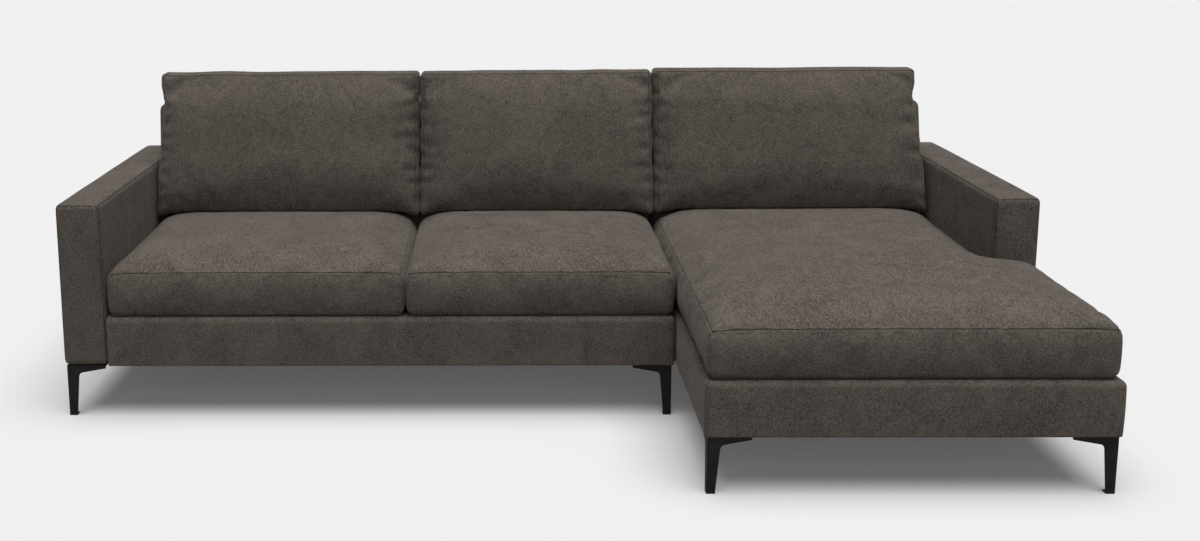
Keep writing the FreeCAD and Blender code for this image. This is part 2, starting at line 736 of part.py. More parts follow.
def build_cushions():
    split = left_arm_inner_x + left_seat_width
    half = cushion_gap / 2
    left = (left_arm_inner_x + seat_side_inset, split - half)
    middle = (split + half, loveseat_right_x - seat_side_inset)
    cushion("left_seat_cushion", lambda inset: seat_form(*left, inset))
    cushion("middle_seat_cushion", lambda inset: seat_form(*middle, inset))
    cushion("chaise_cushion", chaise_form)
    z_front = cushion_bottom + seat_seam_height
    z_rear = cushion_bottom + seat_rear_height
    seat_top = arc_height((seat_front_y, z_front),
                          ((seat_front_y + seat_rear_y) / 2, (z_front + z_rear) / 2 + seat_crown),
                          (seat_rear_y, z_rear), contact_y)
    z0 = seat_top + contact_gap
    chaise_z0 = cushion_bottom + chaise_contact_height + contact_gap
    back_split = split + back_cushion_split_shift
    x0 = left_arm_inner_x + back_cushion_side_gap
    x1 = right_arm_inner_x - back_cushion_side_gap
    gap = back_cushion_gap / 2
    join = (loveseat_right_x + chaise_left_x) / 2
    cushion("left_back_cushion", lambda inset: back_cushion_form(x0, back_split - gap, z0, inset))
    cushion("middle_back_cushion", lambda inset: back_cushion_form(
        back_split + gap, join - gap, z0, inset))
    cushion("right_back_cushion", lambda inset: back_cushion_form(
        join + gap, x1, chaise_z0, inset, chaise_back_cushion_taper))


os.makedirs("parts", exist_ok=True)
build_loveseat()
build_chaise()
build_cushions()
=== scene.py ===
import math

import bmesh
import bpy
import numpy as np
from bpy.props import FloatProperty, FloatVectorProperty, IntProperty, PointerProperty
from mathutils import Matrix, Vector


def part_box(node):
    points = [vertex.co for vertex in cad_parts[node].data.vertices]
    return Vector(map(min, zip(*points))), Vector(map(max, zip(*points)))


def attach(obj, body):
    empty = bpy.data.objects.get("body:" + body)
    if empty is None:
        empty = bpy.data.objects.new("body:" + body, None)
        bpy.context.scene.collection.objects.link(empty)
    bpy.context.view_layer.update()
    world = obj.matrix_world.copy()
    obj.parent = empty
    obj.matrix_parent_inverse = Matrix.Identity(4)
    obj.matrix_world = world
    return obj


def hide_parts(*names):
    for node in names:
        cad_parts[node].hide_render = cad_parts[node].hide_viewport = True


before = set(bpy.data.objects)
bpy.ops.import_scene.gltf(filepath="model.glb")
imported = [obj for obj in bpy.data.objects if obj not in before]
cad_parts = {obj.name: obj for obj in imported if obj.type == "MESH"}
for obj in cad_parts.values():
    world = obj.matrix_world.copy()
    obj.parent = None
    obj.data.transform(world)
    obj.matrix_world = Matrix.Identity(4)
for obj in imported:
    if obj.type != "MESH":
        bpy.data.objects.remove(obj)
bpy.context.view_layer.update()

bl_info = {
    "name": "Sectional Sofa",
    "version": (1, 0, 0),
    "blender": (4, 5, 0),
    "location": "3D View > Sidebar > Sofa",
    "description": "A two-seat sofa with a chaise, loose cushions and metal legs",
    "category": "Add Mesh",
}

MM = 0.001
TINY = 1e-9
FACES = {"left": 0, "right": 1, "front": 2, "rear": 3, "bottom": 4, "top": 5}

# Mesh rows beside a block's edges and across a seam. The topstitching follows the third row.
EDGE_ROWS = tuple(gap * MM for gap in (1.6, 3.6, 6.5, 10.0, 15.0, 22.0))
SEAM_ROWS = tuple(gap * MM for gap in (-7.0, -3.5, -1.6, 0.0, 1.6, 3.5, 7.0))
STITCH_INSET = EDGE_ROWS[2]
STITCH_LIFT = 0.5 * MM
CLOSEST_ROWS = 1.1 * MM
SAME_ROW = 0.01 * MM

# The pillow shape is worked out on a grid of square cells, in this many rounds.
PILLOW_CELL = 8 * MM
PILLOW_ROUNDS = 900

# How the cloth behaves while the air pressure swells a cushion
CLOTH = {
    "quality": 5, "mass": 0.35, "air_damping": 2.0, "tension_stiffness": 18.0,
    "compression_stiffness": 18.0, "shear_stiffness": 8.0, "bending_stiffness": 1.2,
}
SEAM_HOLD = 0.98
HOLD_WIDTH = 3 * MM

# The two-seater's back reaches this far over its arm.
BACK_OVERHANG = 8 * MM

# White of the room and of the floor's glow
STUDIO_WHITE = (0.871, 0.868, 0.868, 1.0)


# Sizes and colours that a user would change

class SofaSizes(bpy.types.PropertyGroup):
    mesh_step: FloatProperty(
        name="Mesh step", description="Distance between mesh rows on the fabric pieces",
        default=14.0 * MM, unit="LENGTH")
    edge_radius: FloatProperty(
        name="Arm edge radius", description="Rounding of the arm's padded edges",
        default=19.0 * MM, unit="LENGTH")
    seam_depth: FloatProperty(
        name="Seam depth", description="How far a sewn seam pulls into the padding",
        default=2.4 * MM, unit="LENGTH")
    seam_width: FloatProperty(
        name="Seam width", description="Width of the groove that a seam makes",
        default=2.2 * MM, unit="LENGTH")
    arm_puff: FloatProperty(
        name="Arm puff", description="How far the arm's foam swells its faces",
        default=2.0 * MM, unit="LENGTH")
    seat_crown: FloatProperty(
        name="Seat crown", description="Rise of a seat cushion's middle over its seams",
        default=50.0 * MM, unit="LENGTH")
    seat_roll: FloatProperty(
        name="Seat roll", description="Reach of the soft roll along a seat cushion's edges",
        default=58.0 * MM, unit="LENGTH")
    back_crown: FloatProperty(
        name="Back cushion crown", description="Fullness of a back cushion's front",
        default=40.0 * MM, unit="LENGTH")
    pucker_depth: FloatProperty(
        name="Pucker depth", description="Depth of the gathers along a back cushion's seams",
        default=7.0 * MM, unit="LENGTH")
    pucker_spacing: FloatProperty(
        name="Pucker spacing", description="Distance from one gather to the next",
        default=46.0 * MM, unit="LENGTH")
    stitch_pitch: FloatProperty(
        name="Stitch pitch", description="Distance from one stitch to the next",
        default=7.0 * MM, unit="LENGTH")
    stitch_length: FloatProperty(
        name="Stitch length", description="Length of one stitch",
        default=5.2 * MM, unit="LENGTH")
    stitch_width: FloatProperty(
        name="Stitch width", description="Thickness of the thread",
        default=1.3 * MM, unit="LENGTH")
    wrinkle_seed: IntProperty(
        name="Wrinkle seed", description="Picks where the gathers and waves fall", default=7)


class SofaColours(bpy.types.PropertyGroup):
    fabric: FloatVectorProperty(
        name="Fabric", description="Brushed suede cloth", subtype="COLOR",
        default=(0.166, 0.141, 0.120), min=0, max=1)
    fabric_dark: FloatVectorProperty(
        name="Fabric shade", description="The cloth where its nap lies the other way",
        subtype="COLOR", default=(0.037, 0.030, 0.025), min=0, max=1)
    fabric_fleck: FloatVectorProperty(
        name="Fabric fleck", description="Short pale fibres in the nap",
        subtype="COLOR", default=(0.235, 0.205, 0.177), min=0, max=1)
    thread: FloatVectorProperty(
        name="Thread", description="Topstitch thread", subtype="COLOR",
        default=(0.200, 0.174, 0.150), min=0, max=1)
    deck: FloatVectorProperty(
        name="Deck cloth", description="Woven cloth under the loose cushions",
        subtype="COLOR", default=(0.045, 0.040, 0.036), min=0, max=1)
    dust: FloatVectorProperty(
        name="Dust cloth", description="Thin bonded cloth under the base",
        subtype="COLOR", default=(0.012, 0.012, 0.013), min=0, max=1)
    metal: FloatVectorProperty(
        name="Leg metal", description="Powder-coated steel of the legs",
        subtype="COLOR", default=(0.011, 0.011, 0.012), min=0, max=1)
    timber: FloatVectorProperty(
        name="Timber", description="Softwood of the hidden frame", subtype="COLOR",
        default=(0.50, 0.34, 0.19), min=0, max=1)
    backdrop: FloatVectorProperty(
        name="Floor", description="Plain pale floor and its surroundings",
        subtype="COLOR", default=(0.85, 0.847, 0.848), min=0, max=1)


def sizes():
    return bpy.context.scene.sofa_sizes


def colours():
    return bpy.context.scene.sofa_colours


# Mesh forms

def rows(low, high, step, fine_low=True, fine_high=True, seams=()):
    """Places of the mesh rows from low to high, closer together at the edges and at seams."""
    marks = {low, high}
    for near in EDGE_ROWS:
        if fine_low:
            marks.add(low + near)
        if fine_high:
            marks.add(high - near)
    for seam in seams:
        for off in SEAM_ROWS:
            marks.add(seam + off)
    first, *others = sorted(marks)
    out = [first]
    for mark in others:
        last = out[-1]
        if mark - last < CLOSEST_ROWS:
            continue
        pieces = max(1, round((mark - last) / step))
        out.extend(np.linspace(last, mark, pieces + 1)[1:])
    out[-1] = high
    return np.array(out)


def through(places, value):
    """Moves the nearest mesh row to a place that has to have one."""
    places[np.argmin(abs(places - value))] = value


def on_row(points, axis, value):
    return np.isclose(points[:, axis], value, atol=SAME_ROW)


def lattice_shell(xs, ys, zs, cut=None):
    """The outer skin of a block of cells, as points and outward quads. cut drops cells by their middles."""
    nx, ny, nz = len(xs), len(ys), len(zs)
    filled = np.zeros((nx + 1, ny + 1, nz + 1), bool)
    filled[1:-1, 1:-1, 1:-1] = True
    if cut is not None:
        mx, my = (xs[1:] + xs[:-1]) / 2, (ys[1:] + ys[:-1]) / 2
        filled[1:-1, 1:-1, 1:-1] &= ~cut(mx[:, None], my[None, :])[:, :, None]
    number = np.arange(nx * ny * nz).reshape(nx, ny, nz)
    quads = []
    for axis in range(3):
        cells = np.moveaxis(filled, axis, 0)
        ids = np.moveaxis(number, axis, 0)
        low, high = cells[:-1, 1:-1, 1:-1], cells[1:, 1:-1, 1:-1]
        a, b = ids[:, :-1, :-1], ids[:, 1:, :-1]
        c, d = ids[:, 1:, 1:], ids[:, :-1, 1:]
        ring = np.stack([a, b, c, d], -1)
        if axis == 1:
            ring = ring[..., ::-1]
        quads.append(ring[low & ~high])
        quads.append(ring[high & ~low][..., ::-1])
    quads = np.concatenate(quads)
    used, quads = np.unique(quads, return_inverse=True)
    grid = np.stack(np.meshgrid(xs, ys, zs, indexing="ij"), -1).reshape(-1, 3)
    return grid[used], quads.reshape(-1, 4)


def notched_shell(low, high, step, notch=None, heights=None):
    """The shell of a box. A notch (x, y) leaves out all that lies past both of its lines."""
    seams = [()] * 2 if notch is None else [(line,) for line in notch]
    xs, ys = (rows(low[axis], high[axis], step, seams=seams[axis]) for axis in range(2))
    cut = None
    if notch is not None:
        through(xs, notch[0])
        through(ys, notch[1])
        cut = lambda x, y: (x > notch[0]) & (y > notch[1])
    return lattice_shell(xs, ys, rows(low[2], high[2], step) if heights is None else heights, cut)


def rounded(points, boxes, radius):
    """Rounds the edges of a block, or of a block made of several boxes."""
    best = np.full(len(points), np.inf)
    out = points.copy()
    for low, high in boxes:
        inner = np.clip(points, np.array(low) + radius, np.array(high) - radius)
        away = points - inner
        far = np.linalg.norm(away, axis=1)
        near = far < best - TINY
        best = np.where(near, far, best)
        moved = inner + away * (radius / np.maximum(far, TINY))[:, None]
        out[near] = np.where(far[near, None] > TINY, moved[near], points[near])
    return out


def vertex_normals(points, quads):
    """Each point's normal, from the quads around it by their area."""
    p = points[quads]
    face = np.cross(p[:, 2] - p[:, 0], p[:, 3] - p[:, 1])
    out = np.zeros_like(points)
    for corner in range(4):
        np.add.at(out, quads[:, corner], face)
    return out / np.maximum(np.linalg.norm(out, axis=1), TINY)[:, None]


def edge_distance(points, low, high, faces):
    """Distance over the block's skin to the edge where two of its faces meet."""
    gaps = np.stack([points[:, 0] - low[0], high[0] - points[:, 0],
                     points[:, 1] - low[1], high[1] - points[:, 1],
                     points[:, 2] - low[2], high[2] - points[:, 2]])
    return sum(gaps[FACES[face]] for face in faces)


def groove(distance, wide=1.0):
    """Depth of the groove at a distance from its seam."""
    size = sizes()
    return size.seam_depth * np.exp(-(distance / (size.seam_width * wide)) ** 2)


def painted_seam_shade(distance, wide=1.0):
    """How much painted shade darkens the cloth along a seam's groove, over a little more than the groove's
    width.
    """
    return np.exp(-(distance / (sizes().seam_width * wide * 1.15)) ** 2)


def sewn(points, normals, box_points, box, seams, wide=1.0):
    """The points with a groove along each seam of a box, and how much painted shade darkens the cloth along
    the seams.
    """
    shade = np.zeros(len(points))
    for seam in seams:
        distance = edge_distance(box_points, *box, seam)
        points = points - normals * groove(distance, wide)[:, None]
        shade = np.maximum(shade, painted_seam_shade(distance, wide))
    return points, shade


def roll(distance, width):
    """Quarter of a soft roll: 0 at the seam, 1 past the width."""
    t = 1 - np.clip(distance / width, 0, 1)
    return np.maximum(1 - t ** 2.3, 0) ** 0.62


def pillow(points, boxes, reach):
    """Fullness of a pillow over a plan made of boxes: 0 on its outline, near 1 a few reaches inside."""
    low = np.min([start[:2] for start, end in boxes], axis=0)
    high = np.max([end[:2] for start, end in boxes], axis=0)
    count = np.ceil((high - low) / PILLOW_CELL).astype(int) + 2
    x, y = low[:, None, None] + (np.indices(count) - 0.5) * PILLOW_CELL
    inside = np.zeros(count, bool)
    for start, end in boxes:
        inside |= (x > start[0]) & (x < end[0]) & (y > start[1]) & (y < end[1])
    pull = (reach / PILLOW_CELL) ** 2
    full = np.zeros(count)
    for _ in range(PILLOW_ROUNDS):
        near = full[:-2, 1:-1] + full[2:, 1:-1] + full[1:-1, :-2] + full[1:-1, 2:]
        full[1:-1, 1:-1] = np.where(inside[1:-1, 1:-1], (pull * near + 1) / (4 * pull + 1), 0)
    where = np.clip((points[:, :2] - low) / PILLOW_CELL + 0.5, 0, count - 1.001)
    i, j = where.astype(int).T
    fx, fy = (where - where.astype(int)).T
    return (full[i, j] * (1 - fx) * (1 - fy) + full[i + 1, j] * fx * (1 - fy)
            + full[i, j + 1] * (1 - fx) * fy + full[i + 1, j + 1] * fx * fy)


def waves(points, length, seed):
    """Slow unevenness, the same each run: a few sine waves in seeded directions."""
    dice = np.random.RandomState(seed)
    total = np.zeros(len(points))
    waves_added = 7
    for _ in range(waves_added):
        direction = dice.normal(size=3)
        direction /= np.linalg.norm(direction)
        period = length * dice.uniform(0.6, 1.7)
        total += np.sin(points @ direction * (2 * math.pi / period) + dice.uniform(0, 6.3))
    return total / waves_added


def ripple(points, height, length, seed):
    """Slow unevenness as a column, for moves along the normals."""
    return (height * waves(points, length, seed))[:, None]


def show(name, mesh, material, smooth_levels=1):
    """An object for a mesh, subdivided and with its material."""
    obj = bpy.data.objects.new(name, mesh)
    bpy.context.scene.collection.objects.link(obj)
    if smooth_levels:
        modifier = obj.modifiers.new("smooth", "SUBSURF")
        modifier.levels = modifier.render_levels = smooth_levels
        bake_modifiers(obj)
    obj.data.materials.clear()
    obj.data.materials.append(bpy.data.materials[material])
    return obj


def new_piece(name, points, quads, material, smooth_levels=1, seam=None):
    """A smooth object made of quads. Where seam is near 1, the material darkens the cloth with painted shade.
    """
    mesh = bpy.data.meshes.new(name)
    mesh.vertices.add(len(points))
    mesh.vertices.foreach_set("co", points.astype(np.float32).ravel())
    mesh.loops.add(len(quads) * 4)
    mesh.loops.foreach_set("vertex_index", quads.astype(np.int32).ravel())
    mesh.polygons.add(len(quads))
    mesh.polygons.foreach_set("loop_start", np.arange(0, len(quads) * 4, 4, dtype=np.int32))
    mesh.update(calc_edges=True)
    mesh.polygons.foreach_set("use_smooth", np.ones(len(quads), bool))
    mesh.validate()
    # The seam attribute carries the painted shade that darkens the cloth along the seam grooves.
    if seam is not None:
        shade = mesh.attributes.new("seam", "FLOAT", "POINT")
        shade.data.foreach_set("value", seam.astype(np.float32))
    return show(name, mesh, material, smooth_levels)


def hold_seams(distance):
    """How firmly the seams hold the cloth while it swells."""
    return np.exp(-(distance / HOLD_WIDTH) ** 2) * SEAM_HOLD


def settle(points, quads, held, pressure, slack, cap, frames):
    """Cloth skin under air pressure: held points stay, the rest swells and ripples, at most by the cap."""
    obj = new_piece("settling", points, quads, "suede_fabric", 0)
    group = obj.vertex_groups.new(name="held")
    step = 0.01
    for weight in np.unique(np.round(held[held > 2 * step], 2)):
        picked = np.nonzero(np.abs(held - weight) < step / 2)[0]
        group.add(picked.tolist(), float(weight), "REPLACE")
    modifier = obj.modifiers.new("cloth", "CLOTH")
    cloth = modifier.settings
    for name, value in CLOTH.items():
        setattr(cloth, name, value)
    cloth.vertex_group_mass = "held"
    cloth.use_pressure = True
    cloth.uniform_pressure_force = pressure
    cloth.shrink_min = -slack
    cloth.effector_weights.gravity = 0.0
    modifier.point_cache.frame_start = 1
    modifier.point_cache.frame_end = frames
    scene = bpy.context.scene
    for frame_number in range(1, frames + 1):
        scene.frame_set(frame_number)
    evaluated = obj.evaluated_get(bpy.context.evaluated_depsgraph_get())
    settled = np.zeros(len(points) * 3, np.float32)
    evaluated.data.vertices.foreach_get("co", settled)
    scene.frame_set(1)
    mesh = obj.data
    bpy.data.objects.remove(obj)
    bpy.data.meshes.remove(mesh)
    move = settled.reshape(-1, 3) - points
    far = np.maximum(np.linalg.norm(move, axis=1), TINY)
    return points + move * (cap * np.tanh(far / cap) / far)[:, None]


def bake_modifiers(obj):
    """Turns an object's evaluated modifiers into its plain mesh."""
    bpy.context.view_layer.update()
    evaluated = obj.evaluated_get(bpy.context.evaluated_depsgraph_get())
    mesh = bpy.data.meshes.new_from_object(evaluated)
    obj.modifiers.clear()
    old = obj.data
    obj.data = mesh
    mesh.name = obj.name
    bpy.data.meshes.remove(old)


def declare(obj, body, slot, fill, *nodes):
    """Hides the nodes that a padded piece stands for and hangs the piece on the body that it moves with. The
    slot and fill are not used.
    """
    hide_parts(*nodes)
    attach(obj, body)


STITCH_LINES = []


def keep_stitches(body, obj, mask, order):
    """Remembers a topstitch line: the piece's points in the mask, in order, a little proud of the cloth."""
    picked = np.nonzero(mask)[0]
    picked = picked[np.argsort(order[picked])]
    line = np.zeros((len(picked), 3), np.float32)
    for kind, share in (("co", 1.0), ("normal", STITCH_LIFT)):
        values = np.zeros(len(obj.data.vertices) * 3, np.float32)
        obj.data.vertices.foreach_get(kind, values)
        line += values.reshape(-1, 3)[picked] * share
    STITCH_LINES.append((body, line))


# Materials

def give(tree, node, values):
    """Sets a node's inputs by name: a socket is linked, anything else is the input's value."""
    for name, value in values.items():
        if isinstance(value, bpy.types.NodeSocket):
            tree.links.new(value, node.inputs[name])
        else:
            node.inputs[name].default_value = value


def material(name):
    mat = bpy.data.materials.get(name) or bpy.data.materials.new(name)
    mat.use_nodes = True
    tree = mat.node_tree
    tree.nodes.clear()
    shader = tree.nodes.new("ShaderNodeBsdfPrincipled")
    out = tree.nodes.new("ShaderNodeOutputMaterial")
    tree.links.new(shader.outputs["BSDF"], out.inputs["Surface"])
    return mat, tree, shader


def noise(tree, vector, scale, detail=2.0, roughness=0.5, distortion=0.0):
    node = tree.nodes.new("ShaderNodeTexNoise")
    give(tree, node, {"Scale": scale, "Detail": detail, "Roughness": roughness, "Distortion": distortion,
                      "Vector": vector})
    return node.outputs["Fac"]


def place(tree, scale=(1, 1, 1)):
    """The object's own coordinates, squeezed by the scale."""
    where = tree.nodes.new("ShaderNodeTexCoord")
    mapping = tree.nodes.new("ShaderNodeMapping")
    give(tree, mapping, {"Scale": scale, "Vector": where.outputs["Object"]})
    return mapping.outputs["Vector"]


def maths(tree, operation, *values):
    node = tree.nodes.new("ShaderNodeMath")
    node.operation = operation
    give(tree, node, dict(enumerate(values)))
    return node.outputs["Value"]


def weighted(tree, *parts):
    """The sum of some values, each times its weight."""
    total = None
    for value, weight in parts:
        product = maths(tree, "MULTIPLY", value, weight)
        total = product if total is None else maths(tree, "ADD", total, product)
    return total


def spread(tree, value, low, high, out_low=0.0, out_high=1.0):
    """Stretches the values from low to high over the range from out_low to out_high."""
    node = tree.nodes.new("ShaderNodeMapRange")
    give(tree, node, {"From Min": low, "From Max": high, "To Min": out_low, "To Max": out_high,
                      "Value": value})
    return node.outputs["Result"]


def mix(tree, factor, a, b):
    """From colour a to colour b by the factor. A colour is a socket or three numbers."""
    node = tree.nodes.new("ShaderNodeMix")
    node.data_type = "RGBA"
    a, b = (c if isinstance(c, bpy.types.NodeSocket) else (*c, 1.0) for c in (a, b))
    give(tree, node, {"Factor": factor, "A": a, "B": b})
    return node.outputs["Result"]


def shaded(colour, factor):
    return tuple(min(1.0, channel * factor) for channel in colour)


def bump(tree, shader, height, strength, distance, below=None):
    node = tree.nodes.new("ShaderNodeBump")
    give(tree, node, {"Strength": strength, "Distance": distance, "Height": height})
    if below is not None:
        give(tree, node, {"Normal": below})
    give(tree, shader, {"Normal": node.outputs["Normal"]})
    return node.outputs["Normal"]


def suede():
    """Brushed suede cloth: clouded nap, short brushed streaks, fine grain, a dusty sheen, and painted shade
    along the seams.
    """
    colour = colours()
    mat, tree, shader = material("suede_fabric")
    here = place(tree)
    cloud = noise(tree, here, scale=8.0, detail=4.0, roughness=0.6, distortion=0.8)
    mottle = noise(tree, here, scale=42.0, detail=4.0, roughness=0.65, distortion=0.5)
    nap = noise(tree, place(tree, (1.0, 0.30, 0.8)), scale=250.0, detail=3.0, roughness=0.8)
    grain = noise(tree, place(tree, (1.0, 0.35, 1.0)), scale=420.0, detail=2.0, roughness=0.7)
    level = weighted(tree, (spread(tree, cloud, 0.34, 0.66), 0.22), (spread(tree, mottle, 0.32, 0.68), 0.20),
                     (spread(tree, nap, 0.38, 0.62), 0.58))
    tint = mix(tree, spread(tree, level, 0.10, 0.90), colour.fabric_dark, colour.fabric)
    tint = mix(tree, weighted(tree, (spread(tree, grain, 0.52, 0.66), 0.60)), tint, colour.fabric_fleck)
    # Painted shade along the seam grooves: where the seam attribute is near 1, the cloth darkens towards a
    # very dark copy of the fabric shade.
    seam_shade_paint = tree.nodes.new("ShaderNodeAttribute")
    seam_shade_paint.attribute_name = "seam"
    tint = mix(tree, weighted(tree, (seam_shade_paint.outputs["Fac"], 0.55)), tint, shaded(colour.fabric_dark, 0.35))
    give(tree, shader, {
        "Base Color": tint, "Roughness": spread(tree, mottle, 0.3, 0.7, 0.80, 0.96),
        "Specular IOR Level": 0.22, "Sheen Weight": 0.22, "Sheen Roughness": 0.45,
        "Sheen Tint": (0.62, 0.56, 0.50, 1.0)})
    fine = bump(tree, shader, weighted(tree, (nap, 1.0), (grain, 0.6)), strength=0.45, distance=0.0009)
    bump(tree, shader, weighted(tree, (cloud, 1.0), (mottle, 0.5)), strength=0.30, distance=0.004, below=fine)
    return mat


def thread():
    colour = colours().thread
    mat, tree, shader = material("topstitch_thread")
    twist = noise(tree, place(tree), scale=1400.0, roughness=0.6)
    give(tree, shader, {
        "Base Color": mix(tree, spread(tree, twist, 0.35, 0.65), shaded(colour, 0.7), colour),
        "Roughness": 0.62, "Sheen Weight": 0.15})
    bump(tree, shader, twist, strength=0.4, distance=0.0004)
    return mat


def woven(name, colour, scale, depth):
    """A plain weave in the object's own coordinates, with a little fading."""
    mat, tree, shader = material(name)
    here = place(tree)
    parts = tree.nodes.new("ShaderNodeSeparateXYZ")
    give(tree, parts, {"Vector": here})
    along, across = (maths(tree, "SINE", weighted(tree, (parts.outputs[axis], scale))) for axis in "XY")
    weave = maths(tree, "MULTIPLY", along, across)
    fade = noise(tree, here, scale=14.0, detail=3.0, roughness=0.6)
    level = spread(tree, weighted(tree, (weave, 0.22), (fade, 1.0)), 0.2, 0.9)
    give(tree, shader, {"Base Color": mix(tree, level, colour, shaded(colour, 1.6)), "Roughness": 0.9})
    bump(tree, shader, weave, strength=0.35, distance=depth)
    return mat


def powder_coat():
    """Satin black powder coat: a fine orange-peel skin, paler and duller in patches."""
    colour = colours().metal
    mat, tree, shader = material("leg_metal")
    here = place(tree)
    peel = noise(tree, here, scale=620.0)
    patch = noise(tree, here, scale=22.0, detail=3.0, roughness=0.6)
    give(tree, shader, {
        "Base Color": mix(tree, spread(tree, patch, 0.35, 0.7), colour, shaded(colour, 1.9)),
        "Roughness": spread(tree, patch, 0.3, 0.7, 0.34, 0.50),
        "Metallic": 0.35, "Specular IOR Level": 0.5})
    bump(tree, shader, peel, strength=0.18, distance=0.0005)
    return mat


def plain_metal(name, colour, roughness, scale):
    """Bright wire, plate or screw metal with fine drawn marks."""
    mat, tree, shader = material(name)
    drawn = noise(tree, place(tree, (1.0, 0.08, 1.0)), scale, detail=3.0, roughness=0.6)
    stain = noise(tree, place(tree), scale=30.0, detail=3.0, roughness=0.6)
    give(tree, shader, {
        "Base Color": mix(tree, spread(tree, stain, 0.35, 0.7), shaded(colour, 0.72), colour),
        "Roughness": spread(tree, drawn, 0.3, 0.7, roughness - 0.07, roughness + 0.10),
        "Metallic": 1.0})
    bump(tree, shader, drawn, strength=0.2, distance=0.0003)
    return mat


def softwood():
    """Planed softwood: long growth bands, darker latewood lines and fine pores."""
    colour = colours().timber
    mat, tree, shader = material("timber")
    bands = tree.nodes.new("ShaderNodeTexWave")
    bands.wave_type = "BANDS"
    bands.bands_direction = "Z"
    give(tree, bands, {"Scale": 5.0, "Distortion": 5.0, "Detail": 3.0, "Detail Scale": 1.2,
                       "Vector": place(tree, (1.0, 1.0, 7.0))})
    pores = noise(tree, place(tree, (0.2, 0.2, 3.0)), scale=300.0, detail=3.0, roughness=0.6)
    latewood = spread(tree, bands.outputs["Fac"], 0.2, 0.95)
    give(tree, shader, {"Base Color": mix(tree, latewood, colour, shaded(colour, 0.62)),
                        "Roughness": spread(tree, pores, 0.3, 0.7, 0.55, 0.75)})
    bump(tree, shader, pores, strength=0.3, distance=0.0006)
    return mat


def foam():
    mat, tree, shader = material("filling")
    here = place(tree)
    cells = noise(tree, here, scale=420.0, detail=3.0, roughness=0.65)
    patch = noise(tree, here, scale=20.0)
    give(tree, shader, {
        "Base Color": mix(tree, spread(tree, patch, 0.35, 0.65), (0.78, 0.73, 0.58), (0.86, 0.82, 0.70)),
        "Roughness": 0.95})
    bump(tree, shader, cells, strength=0.6, distance=0.0012)
    return mat


def nylon():
    mat, tree, shader = material("glide_plastic")
    scuff = noise(tree, place(tree), scale=180.0, detail=4.0, roughness=0.7)
    give(tree, shader, {
        "Base Color": mix(tree, spread(tree, scuff, 0.3, 0.7), (0.015, 0.015, 0.016), (0.035, 0.034, 0.033)),
        "Roughness": spread(tree, scuff, 0.3, 0.7, 0.45, 0.65)})
    bump(tree, shader, scuff, strength=0.2, distance=0.0004)
    return mat


# Fabric pieces

class SOFA_OT_arms(bpy.types.Operator):
    """Makes the two padded track arms with their sewn edges"""
    bl_idname = "sofa.arms"
    bl_label = "Arms"

    def execute(self, context):
        for prefix, inner in (("loveseat", "right"), ("chaise", "left")):
            self.arm(prefix, inner)
        return {"FINISHED"}

    def arm(self, prefix, inner):
        size = sizes()
        low, high = (np.array(c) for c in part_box(prefix + "_arm_cover"))
        box_points, quads = lattice_shell(*(rows(*ends, size.mesh_step) for ends in zip(low, high)))
        points = rounded(box_points, [(low, high)], size.edge_radius)
        middle, half = (low + high) / 2, (high - low) / 2
        share = np.clip((box_points - middle) / half, -1, 1)
        swell = (1 - share[:, [1, 0, 0]] ** 4) * (1 - share[:, [2, 2, 1]] ** 4)
        for axis in range(3):
            outward = np.sign(share[:, axis])
            on_face = np.isclose(np.abs(share[:, axis]), 1)
            push = size.arm_puff * swell[:, axis] * outward - outward * size.arm_puff
            points[on_face, axis] += push[on_face]
        normals = vertex_normals(points, quads)
        outer = "left" if inner == "right" else "right"
        seams = [("top", inner), ("top", "front"), ("front", inner), ("front", outer), ("top", "rear"),
                 ("rear", inner), ("rear", outer)]
        points, shade = sewn(points, normals, box_points, (low, high), seams, wide=1.6)
        points += normals * ripple(box_points, 0.7 * MM, length=0.28, seed=size.wrinkle_seed + len(prefix))
        obj = new_piece(prefix + "_arm", points, quads, "suede_fabric", seam=shade)
        beside = on_row(box_points, 0, low[0] + STITCH_INSET if inner == "left" else high[0] - STITCH_INSET)
        on_top = on_row(box_points, 2, high[2])
        before = on_row(box_points, 1, low[1] + STITCH_INSET)
        front = on_row(box_points, 1, low[1])
        for mask, axis in ((beside & on_top, 1), (before & on_top, 0), (beside & front, 2)):
            keep_stitches(prefix, obj, mask, box_points[:, axis])
        declare(obj, prefix, "suede_fabric", 0.95, prefix + "_arm_cover", prefix + "_arm_padding")


